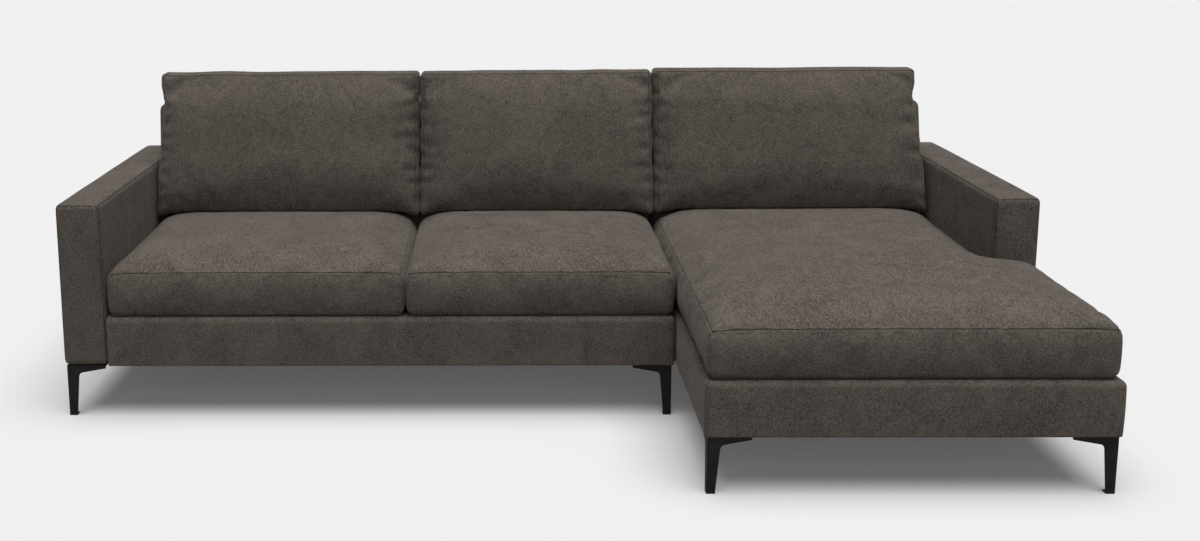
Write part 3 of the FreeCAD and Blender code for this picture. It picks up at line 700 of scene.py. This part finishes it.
class SOFA_OT_backs(bpy.types.Operator):
    """Makes the upholstered backs behind the loose cushions"""
    bl_idname = "sofa.backs"
    bl_label = "Backs"

    def execute(self, context):
        for prefix in ("loveseat", "chaise"):
            self.back(prefix)
        return {"FINISHED"}

    def back(self, prefix):
        """A back that leans, tucked in beside its arm, or ending flush with the arm on the chaise."""
        size = sizes()
        low, high = (np.array(c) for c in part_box(prefix + "_back_cover"))
        seat_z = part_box(prefix + "_base_cover")[1][2]
        arm_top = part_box(prefix + "_arm_cover")[1][2]
        front_lean, edge_radius, end_lean, puff, blend = 75 * MM, 24 * MM, 9 * MM, 3.0 * MM, 4 * MM
        xs = rows(low[0], high[0], size.mesh_step)
        ys = rows(low[1], high[1], size.mesh_step)
        zs = rows(seat_z, high[2], size.mesh_step, seams=(arm_top,))
        box_points, quads = lattice_shell(xs, ys, zs)
        block = (np.array([low[0], low[1], seat_z]), high)
        points = rounded(box_points, [block], edge_radius)
        lean = (points[:, 2] - seat_z) / (high[2] - seat_z) * front_lean
        depth = (high[1] - points[:, 1]) / (high[1] - low[1])
        points[:, 1] += lean * depth
        side = (points[:, 0] - low[0]) / (high[0] - low[0])
        if prefix == "loveseat":
            beside_arm = np.clip(0.5 + (arm_top - points[:, 2]) / blend, 0, 1)
            points[:, 0] += beside_arm * BACK_OVERHANG * (1 - side)
        else:
            lean_in = np.clip((points[:, 2] - arm_top) / (high[2] - arm_top), 0, 1) ** 0.7 * end_lean
            points[:, 0] -= lean_in * side ** 6
        share_x = 2 * side - 1
        share_z = 2 * (points[:, 2] - seat_z) / (high[2] - seat_z) - 1
        swell = puff * (1 - np.clip(share_x, -1, 1) ** 6) * (1 - np.clip(share_z, -1, 1) ** 4)
        rear = on_row(box_points, 1, high[1])
        points[rear, 1] += (swell - puff)[rear]
        normals = vertex_normals(points, quads)
        seams = [("top", "rear"), ("top", "front"), ("left", "rear"), ("right", "rear"), ("left", "top"),
                 ("right", "top")]
        points, shade = sewn(points, normals, box_points, block, seams)
        points += normals * ripple(box_points, 0.8 * MM, length=0.35, seed=size.wrinkle_seed + 3)
        obj = new_piece(prefix + "_back", points, quads, "suede_fabric", seam=shade)
        below = on_row(box_points, 2, high[2] - STITCH_INSET)
        keep_stitches(prefix, obj, below & rear, box_points[:, 0])
        declare(obj, prefix, "suede_fabric", 0.95, prefix + "_back_cover", prefix + "_back_padding")
        self.skirt(prefix, low, high, seat_z)

    def skirt(self, prefix, low, high, seat_z):
        """The upholstered strip that closes the base's rear, under the back."""
        thick, top_gap, edge_radius, sink = 3.1 * MM, 0.5 * MM, 1.4 * MM, 0.6 * MM
        start = np.array([low[0] + (BACK_OVERHANG if prefix == "loveseat" else 0), high[1] - thick, low[2]])
        end = np.array([high[0], high[1], seat_z - top_gap])
        xs = rows(start[0], end[0], sizes().mesh_step)
        ys = np.linspace(start[1], end[1], 3)
        zs = rows(start[2], end[2], sizes().mesh_step)
        box_points, quads = lattice_shell(xs, ys, zs)
        points = rounded(box_points, [(start, end)], edge_radius)
        rear = on_row(box_points, 1, end[1])
        points[rear, 1] += ripple(box_points, 0.5 * MM, length=0.2, seed=11)[rear, 0] - sink
        obj = new_piece(prefix + "_rear_skirt", points, quads, "suede_fabric")
        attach(obj, prefix)


class SOFA_OT_bases(bpy.types.Operator):
    """Makes the padded base panels around the front and sides of each module"""
    bl_idname = "sofa.bases"
    bl_label = "Bases"

    def execute(self, context):
        low, high = (np.array(c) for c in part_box("loveseat_base_cover"))
        self.panel("loveseat", [(low[0], low[1]), (high[0], low[1]), (high[0], high[1])], low[2], high[2])
        low, high = (np.array(c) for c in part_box("chaise_base_cover"))
        arm_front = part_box("chaise_arm_cover")[0][1]
        self.panel("chaise", [(low[0], high[1]), (low[0], low[1]), (high[0], low[1]), (high[0], arm_front)],
                   low[2], high[2])
        return {"FINISHED"}

    def section(self, z0, z1):
        """Inset from the outer face and height, round the panel and its top flange."""
        thick, flange, radius, puff = 12 * MM, 60 * MM, 17 * MM, 1.2 * MM
        foot, top, under = z0 + 8 * MM, z1 - radius, z1 - thick
        out = [(2.5 * MM, z0), (0.6 * MM, z0 + 1.2 * MM), (0.0, z0 + 4 * MM), (0.0, foot)]
        for share in np.linspace(0.12, 1.0, 9):
            out.append((-puff * math.sin(math.pi * share), foot + (top - foot) * share))
        for angle in np.linspace(0, math.pi / 2, 9)[1:-1]:
            out.append((radius - radius * math.cos(angle), top + radius * math.sin(angle)))
        out += [(radius, z1), (24 * MM, z1), (40 * MM, z1 - 0.3 * MM), (flange - 2 * MM, z1 - 0.6 * MM),
                (flange, z1 - 2 * MM), (flange, under + 1.5 * MM), (flange - 1.5 * MM, under),
                (thick + 6 * MM, under), (thick, under - 6 * MM), (thick, z0 + 60 * MM),
                (thick, z0 + 2 * MM), (thick - 2 * MM, z0)]
        return out

    def panel(self, prefix, path, z0, z1):
        """Sweeps the section along a path in plan, with mitred inner corners."""
        section = self.section(z0, z1)
        corner, merge_within = 14 * MM, 0.05 * MM
        stations = self.stations(path, corner, sizes().mesh_step * 1.6)
        rings = []
        for x, y, nx, ny, mitre in stations:
            ring = []
            for inset, z in section:
                if mitre is not None and inset >= corner:
                    cx, cy, sx, sy = mitre
                    ring.append((cx + sx * inset, cy + sy * inset, z))
                else:
                    ring.append((x + nx * inset, y + ny * inset, z))
            rings.append(ring)
        points = np.array(rings).reshape(-1, 3)
        count, around = len(stations), len(section)
        ids = np.arange(count * around).reshape(count, around)
        a, b = ids[:-1], ids[1:]
        quads = np.stack([a, b, np.roll(b, -1, 1), np.roll(a, -1, 1)], -1).reshape(-1, 4)
        mesh = bpy.data.meshes.new(prefix + "_base")
        mesh.from_pydata(points.tolist(), [], quads.tolist() + [ids[0].tolist(), ids[-1][::-1].tolist()])
        body = bmesh.new()
        body.from_mesh(mesh)
        bmesh.ops.remove_doubles(body, verts=body.verts, dist=merge_within)
        bmesh.ops.recalc_face_normals(body, faces=body.faces)
        for face in body.faces:
            face.smooth = True
        body.to_mesh(mesh)
        body.free()
        obj = show(prefix + "_base", mesh, "suede_fabric")
        declare(obj, prefix, "suede_fabric", 0.9, prefix + "_base_cover")

    def stations(self, path, corner, step):
        """Points along the outer face with inward directions, rounded at the corners."""
        out = []
        last = len(path) - 1
        for index in range(last):
            (xa, ya), (xb, yb) = path[index], path[index + 1]
            length = math.hypot(xb - xa, yb - ya)
            dx, dy = (xb - xa) / length, (yb - ya) / length
            nx, ny = -dy, dx
            start = corner if index else 0.0
            stop = length - (corner if index < last - 1 else 0.0)
            for at in rows(start, stop, step, fine_low=index == 0, fine_high=index == last - 1):
                out.append((xa + dx * at, ya + dy * at, nx, ny, None))
            if index < last - 1:
                (xc, yc) = path[index + 2]
                turn = math.hypot(xc - xb, yc - yb)
                ex, ey = (xc - xb) / turn, (yc - yb) / turn
                mx, my = -ey, ex
                centre = (xb + (nx + mx) * corner, yb + (ny + my) * corner)
                for share in (0.2, 0.4, 0.6, 0.8):
                    angle = math.pi / 2 * share
                    ix = nx * math.cos(angle) + mx * math.sin(angle)
                    iy = ny * math.cos(angle) + my * math.sin(angle)
                    out.append((centre[0] - ix * corner, centre[1] - iy * corner, ix, iy,
                                (xb, yb, nx + mx, ny + my)))
        return out


class SOFA_OT_seat_cushions(bpy.types.Operator):
    """Makes the two crowned seat cushions and the long chaise cushion"""
    bl_idname = "sofa.seat_cushions"
    bl_label = "Seat cushions"

    def execute(self, context):
        front_gap, rear_end, arm_gap = 3 * MM, 440 * MM, 4 * MM
        for number, name in enumerate(("left_seat_cushion", "middle_seat_cushion")):
            low, high = (np.array(c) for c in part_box(name + "_cover"))
            low[1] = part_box("loveseat_base_cover")[0][1] + front_gap
            high[1] = rear_end
            self.cushion(name, [(low, high)], rear_rise=7 * MM, seed=number)
        low, high = (np.array(c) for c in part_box("chaise_cushion_cover"))
        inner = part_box("chaise_arm_cover")[0]
        main = (low, np.array([inner[0] - arm_gap, high[1], high[2]]))
        ear = (low, np.array([high[0], inner[1] - arm_gap, high[2]]))
        self.cushion("chaise_cushion", [main, ear], rear_rise=11 * MM, seed=5)
        return {"FINISHED"}

    def cushion(self, name, boxes, rear_rise, seed):
        """A cushion over a plan of one box, or of two that share their low corner and leave out a notch."""
        size = sizes()
        front_height, edge_radius, side_bulge = 125 * MM, 24 * MM, 3.0 * MM
        low = boxes[0][0]
        high = np.max([end for start, end in boxes], axis=0)
        top = low[2] + front_height
        boxes = [(start, np.array([*end[:2], top])) for start, end in boxes]
        notch = (boxes[0][1][0], boxes[1][1][1]) if len(boxes) > 1 else None
        box_points, quads = notched_shell(low, (*high[:2], top), size.mesh_step, notch)
        points = rounded(box_points, boxes, edge_radius)
        raised = pillow(points, boxes, size.seat_roll) ** 0.8
        depth = np.clip((points[:, 1] - low[1]) / (high[1] - low[1]), 0, 1)
        height = np.clip((points[:, 2] - low[2]) / front_height, 0, 1)
        soft = 1 + 0.05 * waves(box_points, length=0.55, seed=seed + size.wrinkle_seed)
        points[:, 2] += rear_rise * depth * height + size.seat_crown * raised * soft * height ** 3
        distance = self.rim_distance(box_points, boxes)
        up = distance + top - box_points[:, 2]
        down = distance + box_points[:, 2] - low[2]
        seam = np.minimum(up, down)
        underside = np.clip(1 - height / 0.04, 0, 1)
        held = np.maximum(hold_seams(seam), underside)
        points = settle(points, quads, held, pressure=3.2, slack=0.012, cap=9 * MM, frames=8)
        flat = vertex_normals(points, quads) * [1, 1, 0]
        points += flat * (side_bulge * np.sin(height * math.pi) ** 0.8 - side_bulge)[:, None]
        normals = vertex_normals(points, quads)
        points -= normals * (groove(up) + groove(down) * 0.6)[:, None]
        points += normals * ripple(box_points, 0.9 * MM, length=0.16, seed=seed + 40) * height[:, None]
        # The seam attribute gets the painted shade along the cushion's seams.
        obj = new_piece(name, points, quads, "suede_fabric", seam=painted_seam_shade(seam))
        below = on_row(box_points, 2, top - STITCH_INSET)
        for axis, value in ((1, low[1]), (0, low[0]), (0, high[0])):
            keep_stitches(name, obj, below & on_row(box_points, axis, value), box_points[:, 1 - axis])
        declare(obj, name, "suede_fabric", 0.85, name + "_cover", name + "_core")

    def rim_distance(self, points, boxes):
        """Distance in plan to the cushion's outline."""
        inside = np.zeros(len(points))
        for low, high in boxes:
            gap = np.minimum.reduce([points[:, 0] - low[0], high[0] - points[:, 0],
                                     points[:, 1] - low[1], high[1] - points[:, 1]])
            inside = np.maximum(inside, gap)
        return inside


class SOFA_OT_back_cushions(bpy.types.Operator):
    """Makes the three boxed back cushions with gathers along their seams"""
    bl_idname = "sofa.back_cushions"
    bl_label = "Back cushions"

    def execute(self, context):
        ends = {
            "left_back_cushion": ((19, 11), (3, 1)),
            "middle_back_cushion": ((3, 2), (3, 2)),
            "right_back_cushion": ((3, 1), (40, 34)),
        }
        for number, (name, insets) in enumerate(ends.items()):
            self.cushion(name, np.array(insets) * MM, number)
        return {"FINISHED"}

    def cushion(self, name, ends, number):
        """The ends say how far each side stands in at its waist, three quarters up, and at its top corner."""
        size = sizes()
        thick, edge_radius, droop, front_tuck = 96 * MM, 15 * MM, 18 * MM, 8 * MM
        front_foot, front_lean = 360 * MM, 95 * MM
        rest_foot, rest_run, rest_rise, rest_gap, rear_limit = 292 * MM, 75, 508, 1.5 * MM, 537 * MM
        low, high = (np.array(c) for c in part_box(name + "_cover"))
        height = high[2] - low[2]
        box = (np.array([low[0], 0.0, 0.0]), np.array([high[0], thick, height]))
        box_points, quads = notched_shell(*box, size.mesh_step * 0.75)
        points = rounded(box_points, [box], edge_radius)
        u = (points[:, 0] - low[0]) / (high[0] - low[0])
        w = points[:, 1] / thick
        v = points[:, 2] / height
        z = low[2] + points[:, 2]
        front_line = front_foot + v * front_lean
        rest_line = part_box("loveseat_back_cover")[0][1] + (z - rest_foot) * rest_run / rest_rise - rest_gap
        rear_line = np.minimum(rest_line, rear_limit)
        side = np.minimum(points[:, 0] - low[0], high[0] - points[:, 0])
        across = roll(np.maximum(side, 0), 150 * MM)
        up = roll(np.maximum(points[:, 2], 0), 90 * MM) * roll(np.maximum(height - points[:, 2], 0), 190 * MM)
        full = np.interp(v, (0, 0.08, 0.34, 0.8, 0.93, 1), (0.40, 0.84, 1.0, 0.8, 0.5, 0.3))
        crown = size.back_crown * across * (0.35 + 0.65 * up) * full
        points[:, 1] = front_line + (rear_line - front_line) * w - crown * (1 - w) ** 2
        points[:, 2] = z
        front_inset = front_tuck * np.exp(-(w / 0.16) ** 2)
        left, right = (np.interp(v, (0, 0.3, 0.55, 0.79, 0.91, 1),
                                 (0, 0.22 * waist, 0.55 * waist, waist, tip, tip)) + front_inset
                       for waist, tip in ends)
        points[:, 0] += left * (1 - u) ** 3 - right * u ** 3
        points[:, 2] -= droop * np.abs(2 * u - 1) ** 14 * (1 - np.clip(v / 0.12, 0, 1)) ** 2
        rim = np.minimum.reduce([edge_distance(box_points, *box, (face, edge)) for face in ("front", "rear")
                                 for edge in ("left", "right", "top", "bottom")])
        rear_hold = np.clip((w - 0.9) / 0.1, 0, 1)
        top_hold = 0.8 * np.clip((v - 0.965) / 0.025, 0, 1)
        held = np.maximum.reduce([hold_seams(rim), rear_hold, top_hold])
        points = settle(points, quads, held, pressure=3.5, slack=0.018, cap=14 * MM, frames=20)
        points += self.gathers(box_points, box, number) * vertex_normals(points, quads)
        points -= vertex_normals(points, quads) * groove(rim)[:, None]
        uneven = ripple(box_points * [1, 0, 0], 2.0 * MM, length=0.17, seed=number + 60)[:, 0]
        points[:, 2] += uneven * np.clip((v - 0.8) / 0.2, 0, 1)
        # The seam attribute gets the painted shade along the cushion's seams.
        obj = new_piece(name, points, quads, "suede_fabric", seam=painted_seam_shade(rim))
        front = on_row(box_points, 1, 0.0)
        lines = ((0, low[0] + STITCH_INSET), (0, high[0] - STITCH_INSET), (2, height - STITCH_INSET))
        for axis, value in lines:
            keep_stitches(name, obj, front & on_row(box_points, axis, value), box_points[:, 2 - axis])
        declare(obj, name, "suede_fabric", 0.7, name + "_cover", name + "_core")

    def gathers(self, points, box, number):
        """Short folds that run in from the front and rear seams, deeper down the sides."""
        size = sizes()
        spacing, depth = size.pucker_spacing, size.pucker_depth
        dice = np.random.RandomState(size.wrinkle_seed * 10 + number)
        half_thick = box[1][1] * 0.5
        near_front = np.clip(1 - points[:, 1] / half_thick, 0, 1)
        near_rear = np.clip(points[:, 1] / half_thick - 1, 0, 1)
        total = np.zeros(len(points))
        for axis, end, weight in ((0, 0, 1.0), (0, 1, 1.0), (2, 0, 0.40), (2, 1, 0.14)):
            other = 2 - axis
            run = box[1][other] - box[0][other]
            along = points[:, other] - box[0][other]
            into = np.abs(points[:, axis] - box[end][axis])
            at = spacing * 0.8
            while at < run - spacing * 0.6:
                reach = dice.uniform(24, 75) * MM
                deep = depth * dice.uniform(0.45, 1.0) * weight
                slant = (at / run - 0.5) * dice.uniform(0.2, 0.7)
                width = dice.uniform(6.0, 11.0) * MM + 0.12 * into
                shape = np.exp(-((along - at + slant * into) / width) ** 2) * np.exp(-(into / reach) ** 1.5)
                total -= deep * shape
                at += spacing * dice.uniform(0.75, 1.3)
        slow = ripple(points, 1.6 * MM, length=0.24, seed=number + 21)
        return (total * (near_front + near_rear * 0.6))[:, None] + slow


class SOFA_OT_deck(bpy.types.Operator):
    """Makes the deck cloth under the cushions and the dust cloth under the base"""
    bl_idname = "sofa.deck"
    bl_label = "Deck and dust cloths"

    def execute(self, context):
        for prefix in ("loveseat", "chaise"):
            self.deck(prefix)
            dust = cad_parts[prefix + "_dust_cover"]
            dust.data.materials.clear()
            dust.data.materials.append(bpy.data.materials["dust_cloth"])
        return {"FINISHED"}

    def deck(self, prefix):
        """The deck cloth in its node's plan, a little uneven between its edges."""
        node = prefix + "_seat_deck"
        edge, step, sag = 3 * MM, 30 * MM, 1.5 * MM
        low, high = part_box(node)
        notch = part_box("chaise_arm_cover")[0][:2] if prefix == "chaise" else None
        heights = np.array([low[2], low[2] + edge, high[2] - edge, high[2]])
        points, quads = notched_shell(low, high, step, notch, heights)
        top = on_row(points, 2, high[2])
        points[top, 2] -= sag * (1 + 0.8 * waves(points, length=0.3, seed=4))[top]
        obj = new_piece(prefix + "_deck", points, quads, "deck_fabric")
        declare(obj, prefix, "deck_fabric", 0.9, node)


class SOFA_OT_stitches(bpy.types.Operator):
    """Sews the topstitch lines that the arms, backs and cushions keep along their seams"""
    bl_idname = "sofa.stitches"
    bl_label = "Topstitching"

    def execute(self, context):
        tree, sockets = self.tree()
        by_body = {}
        for body, line in STITCH_LINES:
            by_body.setdefault(body, []).append(line)
        for body, lines in sorted(by_body.items()):
            self.sew(body, lines, tree, sockets)
        return {"FINISHED"}

    def sew(self, body, lines, tree, sockets):
        size = sizes()
        name = body + "_topstitch"
        curve = bpy.data.curves.new(name, "CURVE")
        curve.dimensions = "3D"
        for line in lines:
            spline = curve.splines.new("POLY")
            spline.points.add(len(line) - 1)
            spline.points.foreach_set("co", np.hstack([line, np.ones((len(line), 1))]).ravel())
        guide = bpy.data.objects.new(name + "_guide", curve)
        bpy.context.scene.collection.objects.link(guide)
        modifier = guide.modifiers.new("stitches", "NODES")
        modifier.node_group = tree
        modifier[sockets["Pitch"]] = size.stitch_pitch
        modifier[sockets["Length"]] = size.stitch_length
        modifier[sockets["Width"]] = size.stitch_width
        bpy.context.view_layer.update()
        evaluated = guide.evaluated_get(bpy.context.evaluated_depsgraph_get())
        mesh = bpy.data.meshes.new_from_object(evaluated)
        bpy.data.objects.remove(guide)
        bpy.data.curves.remove(curve)
        mesh.name = name
        obj = show(name, mesh, "topstitch_thread", smooth_levels=0)
        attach(obj, body)

    def tree(self):
        """Stitches along each line: named sizes in, realised thread meshes out."""
        tree = bpy.data.node_groups.new("Topstitch", "GeometryNodeTree")
        face = tree.interface
        face.new_socket("Geometry", in_out="INPUT", socket_type="NodeSocketGeometry")
        face.new_socket("Geometry", in_out="OUTPUT", socket_type="NodeSocketGeometry")
        sockets = {}
        for label in ("Pitch", "Length", "Width"):
            sockets[label] = face.new_socket(label, in_out="INPUT", socket_type="NodeSocketFloat").identifier
        nodes = tree.nodes
        given = nodes.new("NodeGroupInput").outputs
        along = nodes.new("GeometryNodeResampleCurve")
        along.mode = "LENGTH"
        give(tree, along, {"Curve": given["Geometry"], "Length": given["Pitch"]})
        turn = nodes.new("FunctionNodeAlignRotationToVector")
        turn.axis = "X"
        give(tree, turn, {"Vector": nodes.new("GeometryNodeInputTangent").outputs["Tangent"]})
        stitch = nodes.new("GeometryNodeMeshUVSphere")
        give(tree, stitch, {"Segments": 6, "Rings": 4, "Radius": 0.5})
        size = nodes.new("ShaderNodeCombineXYZ")
        give(tree, size, {"X": given["Length"], "Y": given["Width"], "Z": given["Width"]})
        put = nodes.new("GeometryNodeInstanceOnPoints")
        give(tree, put, {"Points": along.outputs["Curve"], "Instance": stitch.outputs["Mesh"],
                         "Rotation": turn.outputs["Rotation"], "Scale": size.outputs["Vector"]})
        real = nodes.new("GeometryNodeRealizeInstances")
        give(tree, real, {"Geometry": put.outputs["Instances"]})
        paint = nodes.new("GeometryNodeSetMaterial")
        give(tree, paint, {"Geometry": real.outputs["Geometry"],
                           "Material": bpy.data.materials["topstitch_thread"]})
        give(tree, nodes.new("NodeGroupOutput"), {"Geometry": paint.outputs["Geometry"]})
        return tree, sockets


class SOFA_OT_finishes(bpy.types.Operator):
    """Makes the materials and gives the legs, screws, timber and springs theirs"""
    bl_idname = "sofa.finishes"
    bl_label = "Finishes"

    def execute(self, context):
        colour = colours()
        cloth = suede()
        thread()
        woven("deck_fabric", colour.deck, scale=2600.0, depth=0.0005)
        woven("dust_cloth", colour.dust, scale=3600.0, depth=0.0003)
        metal = powder_coat()
        steel = plain_metal("spring_steel", (0.42, 0.42, 0.43), roughness=0.34, scale=240.0)
        zinc = plain_metal("screw_steel", (0.62, 0.62, 0.60), roughness=0.28, scale=320.0)
        wood = softwood()
        filling = foam()
        finishes = {
            "leg_glides": nylon(), "leg_screws": zinc, "connector": metal, "leg_": metal,
            "springs": steel, "clips": zinc, "core": filling, "padding": filling,
            "rail": wood, "frame": wood, "blocks": wood, "stretchers": wood,
        }
        for name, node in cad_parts.items():
            finish = next((finish for word, finish in finishes.items() if word in name), cloth)
            node.data.materials.clear()
            node.data.materials.append(finish)
        return {"FINISHED"}


class SOFA_OT_stage(bpy.types.Operator):
    """Sets the pale floor, the soft studio light and the camera"""
    bl_idname = "sofa.stage"
    bl_label = "Stage"

    def execute(self, context):
        self.floor()
        self.lights(context)
        self.camera(context)
        context.scene.view_settings.view_transform = "Standard"
        return {"FINISHED"}

    def floor(self):
        """A plane that reaches past all that the camera sees. It sends little light back at the sofa."""
        colour = colours().backdrop
        reach, bounce, glow_share = 60.0, 0.30, 0.10
        mesh = bpy.data.meshes.new("floor")
        mesh.from_pydata([(-reach, -reach, 0), (reach, -reach, 0), (reach, reach, 0), (-reach, reach, 0)],
                         [], [(0, 1, 2, 3)])
        obj = bpy.data.objects.new("floor", mesh)
        bpy.context.scene.collection.objects.link(obj)
        mat, tree, shader = material("floor")
        grain = noise(tree, place(tree), scale=40.0, detail=3.0, roughness=0.6)
        seen = tree.nodes.new("ShaderNodeLightPath").outputs["Is Camera Ray"]
        clean = mix(tree, grain, colour, shaded(colour, 1.01))
        give(tree, shader, {"Base Color": mix(tree, seen, shaded(colour, bounce), clean), "Roughness": 1.0,
                            "Specular IOR Level": 0.0})
        glow = tree.nodes.new("ShaderNodeEmission")
        give(tree, glow, {"Color": STUDIO_WHITE})
        choose = tree.nodes.new("ShaderNodeMixShader")
        give(tree, choose, {"Fac": weighted(tree, (seen, glow_share)), 1: shader.outputs["BSDF"],
                            2: glow.outputs["Emission"]})
        give(tree, tree.nodes["Material Output"], {"Surface": choose.outputs["Shader"]})
        mesh.materials.append(mat)

    def lights(self, context):
        """An even white room that lights the sofa weakly, one wide light overhead and one in front."""
        world = bpy.data.worlds.new("studio")
        context.scene.world = world
        world.use_nodes = True
        tree = world.node_tree
        tree.nodes.clear()
        fill, seen = (tree.nodes.new("ShaderNodeBackground") for _ in range(2))
        give(tree, fill, {"Color": (1.0, 1.0, 1.0, 1.0), "Strength": 0.08})
        give(tree, seen, {"Color": STUDIO_WHITE, "Strength": 1.0})
        choose = tree.nodes.new("ShaderNodeMixShader")
        give(tree, choose, {"Fac": tree.nodes.new("ShaderNodeLightPath").outputs["Is Camera Ray"],
                            1: fill.outputs["Background"], 2: seen.outputs["Background"]})
        give(tree, tree.nodes.new("ShaderNodeOutputWorld"), {"Surface": choose.outputs["Shader"]})
        for name, energy, angle, tilt in (("overhead_softbox", 2.90, 60, (10, 2)),
                                          ("front_fill", 0.38, 44, (70, 3))):
            sun = bpy.data.lights.new(name, "SUN")
            sun.energy = energy
            sun.angle = math.radians(angle)
            lamp = bpy.data.objects.new(name, sun)
            lamp.rotation_euler = (*(math.radians(turn) for turn in tilt), 0)
            context.scene.collection.objects.link(lamp)

    def camera(self, context):
        lens = bpy.data.cameras.new("camera")
        lens.sensor_width = 36.0
        lens.lens = 41.54
        lens.shift_x = 0.1027
        lens.shift_y = -0.0833
        lens.clip_end = 200.0
        camera = bpy.data.objects.new("camera", lens)
        stand = (-0.13152, -3.99751, 1.41018)
        yaw, pitch, tilt = 0.0173666, 0.183342, -0.0071027
        turn = (Matrix.Rotation(yaw, 4, "Z") @ Matrix.Rotation(math.pi / 2 - pitch, 4, "X")
                @ Matrix.Rotation(tilt, 4, "Z"))
        camera.matrix_world = Matrix.Translation(stand) @ turn
        context.scene.collection.objects.link(camera)
        context.scene.camera = camera


class SOFA_PT_panel(bpy.types.Panel):
    bl_label = "Sectional Sofa"
    bl_idname = "SOFA_PT_panel"
    bl_space_type = "VIEW_3D"
    bl_region_type = "UI"
    bl_category = "Sofa"

    def draw(self, context):
        layout = self.layout
        for operator in OPERATORS:
            layout.operator(operator.bl_idname)
        for group in (context.scene.sofa_sizes, context.scene.sofa_colours):
            column = layout.column()
            for name in group.bl_rna.properties.keys():
                if name not in ("rna_type", "name"):
                    column.prop(group, name)


OPERATORS = (SOFA_OT_finishes, SOFA_OT_arms, SOFA_OT_backs, SOFA_OT_bases, SOFA_OT_seat_cushions,
             SOFA_OT_back_cushions, SOFA_OT_deck, SOFA_OT_stitches, SOFA_OT_stage)
CLASSES = (SofaSizes, SofaColours, *OPERATORS, SOFA_PT_panel)


def register():
    for cls in CLASSES:
        bpy.utils.register_class(cls)
    bpy.types.Scene.sofa_sizes = PointerProperty(type=SofaSizes)
    bpy.types.Scene.sofa_colours = PointerProperty(type=SofaColours)


def unregister():
    del bpy.types.Scene.sofa_sizes
    del bpy.types.Scene.sofa_colours
    for cls in reversed(CLASSES):
        bpy.utils.unregister_class(cls)


def main():
    register()
    bpy.ops.sofa.finishes()
    bpy.ops.sofa.arms()
    bpy.ops.sofa.backs()
    bpy.ops.sofa.bases()
    bpy.ops.sofa.seat_cushions()
    bpy.ops.sofa.back_cushions()
    bpy.ops.sofa.deck()
    bpy.ops.sofa.stitches()
    bpy.ops.sofa.stage()
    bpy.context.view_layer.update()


if __name__ == "__main__":
    main()
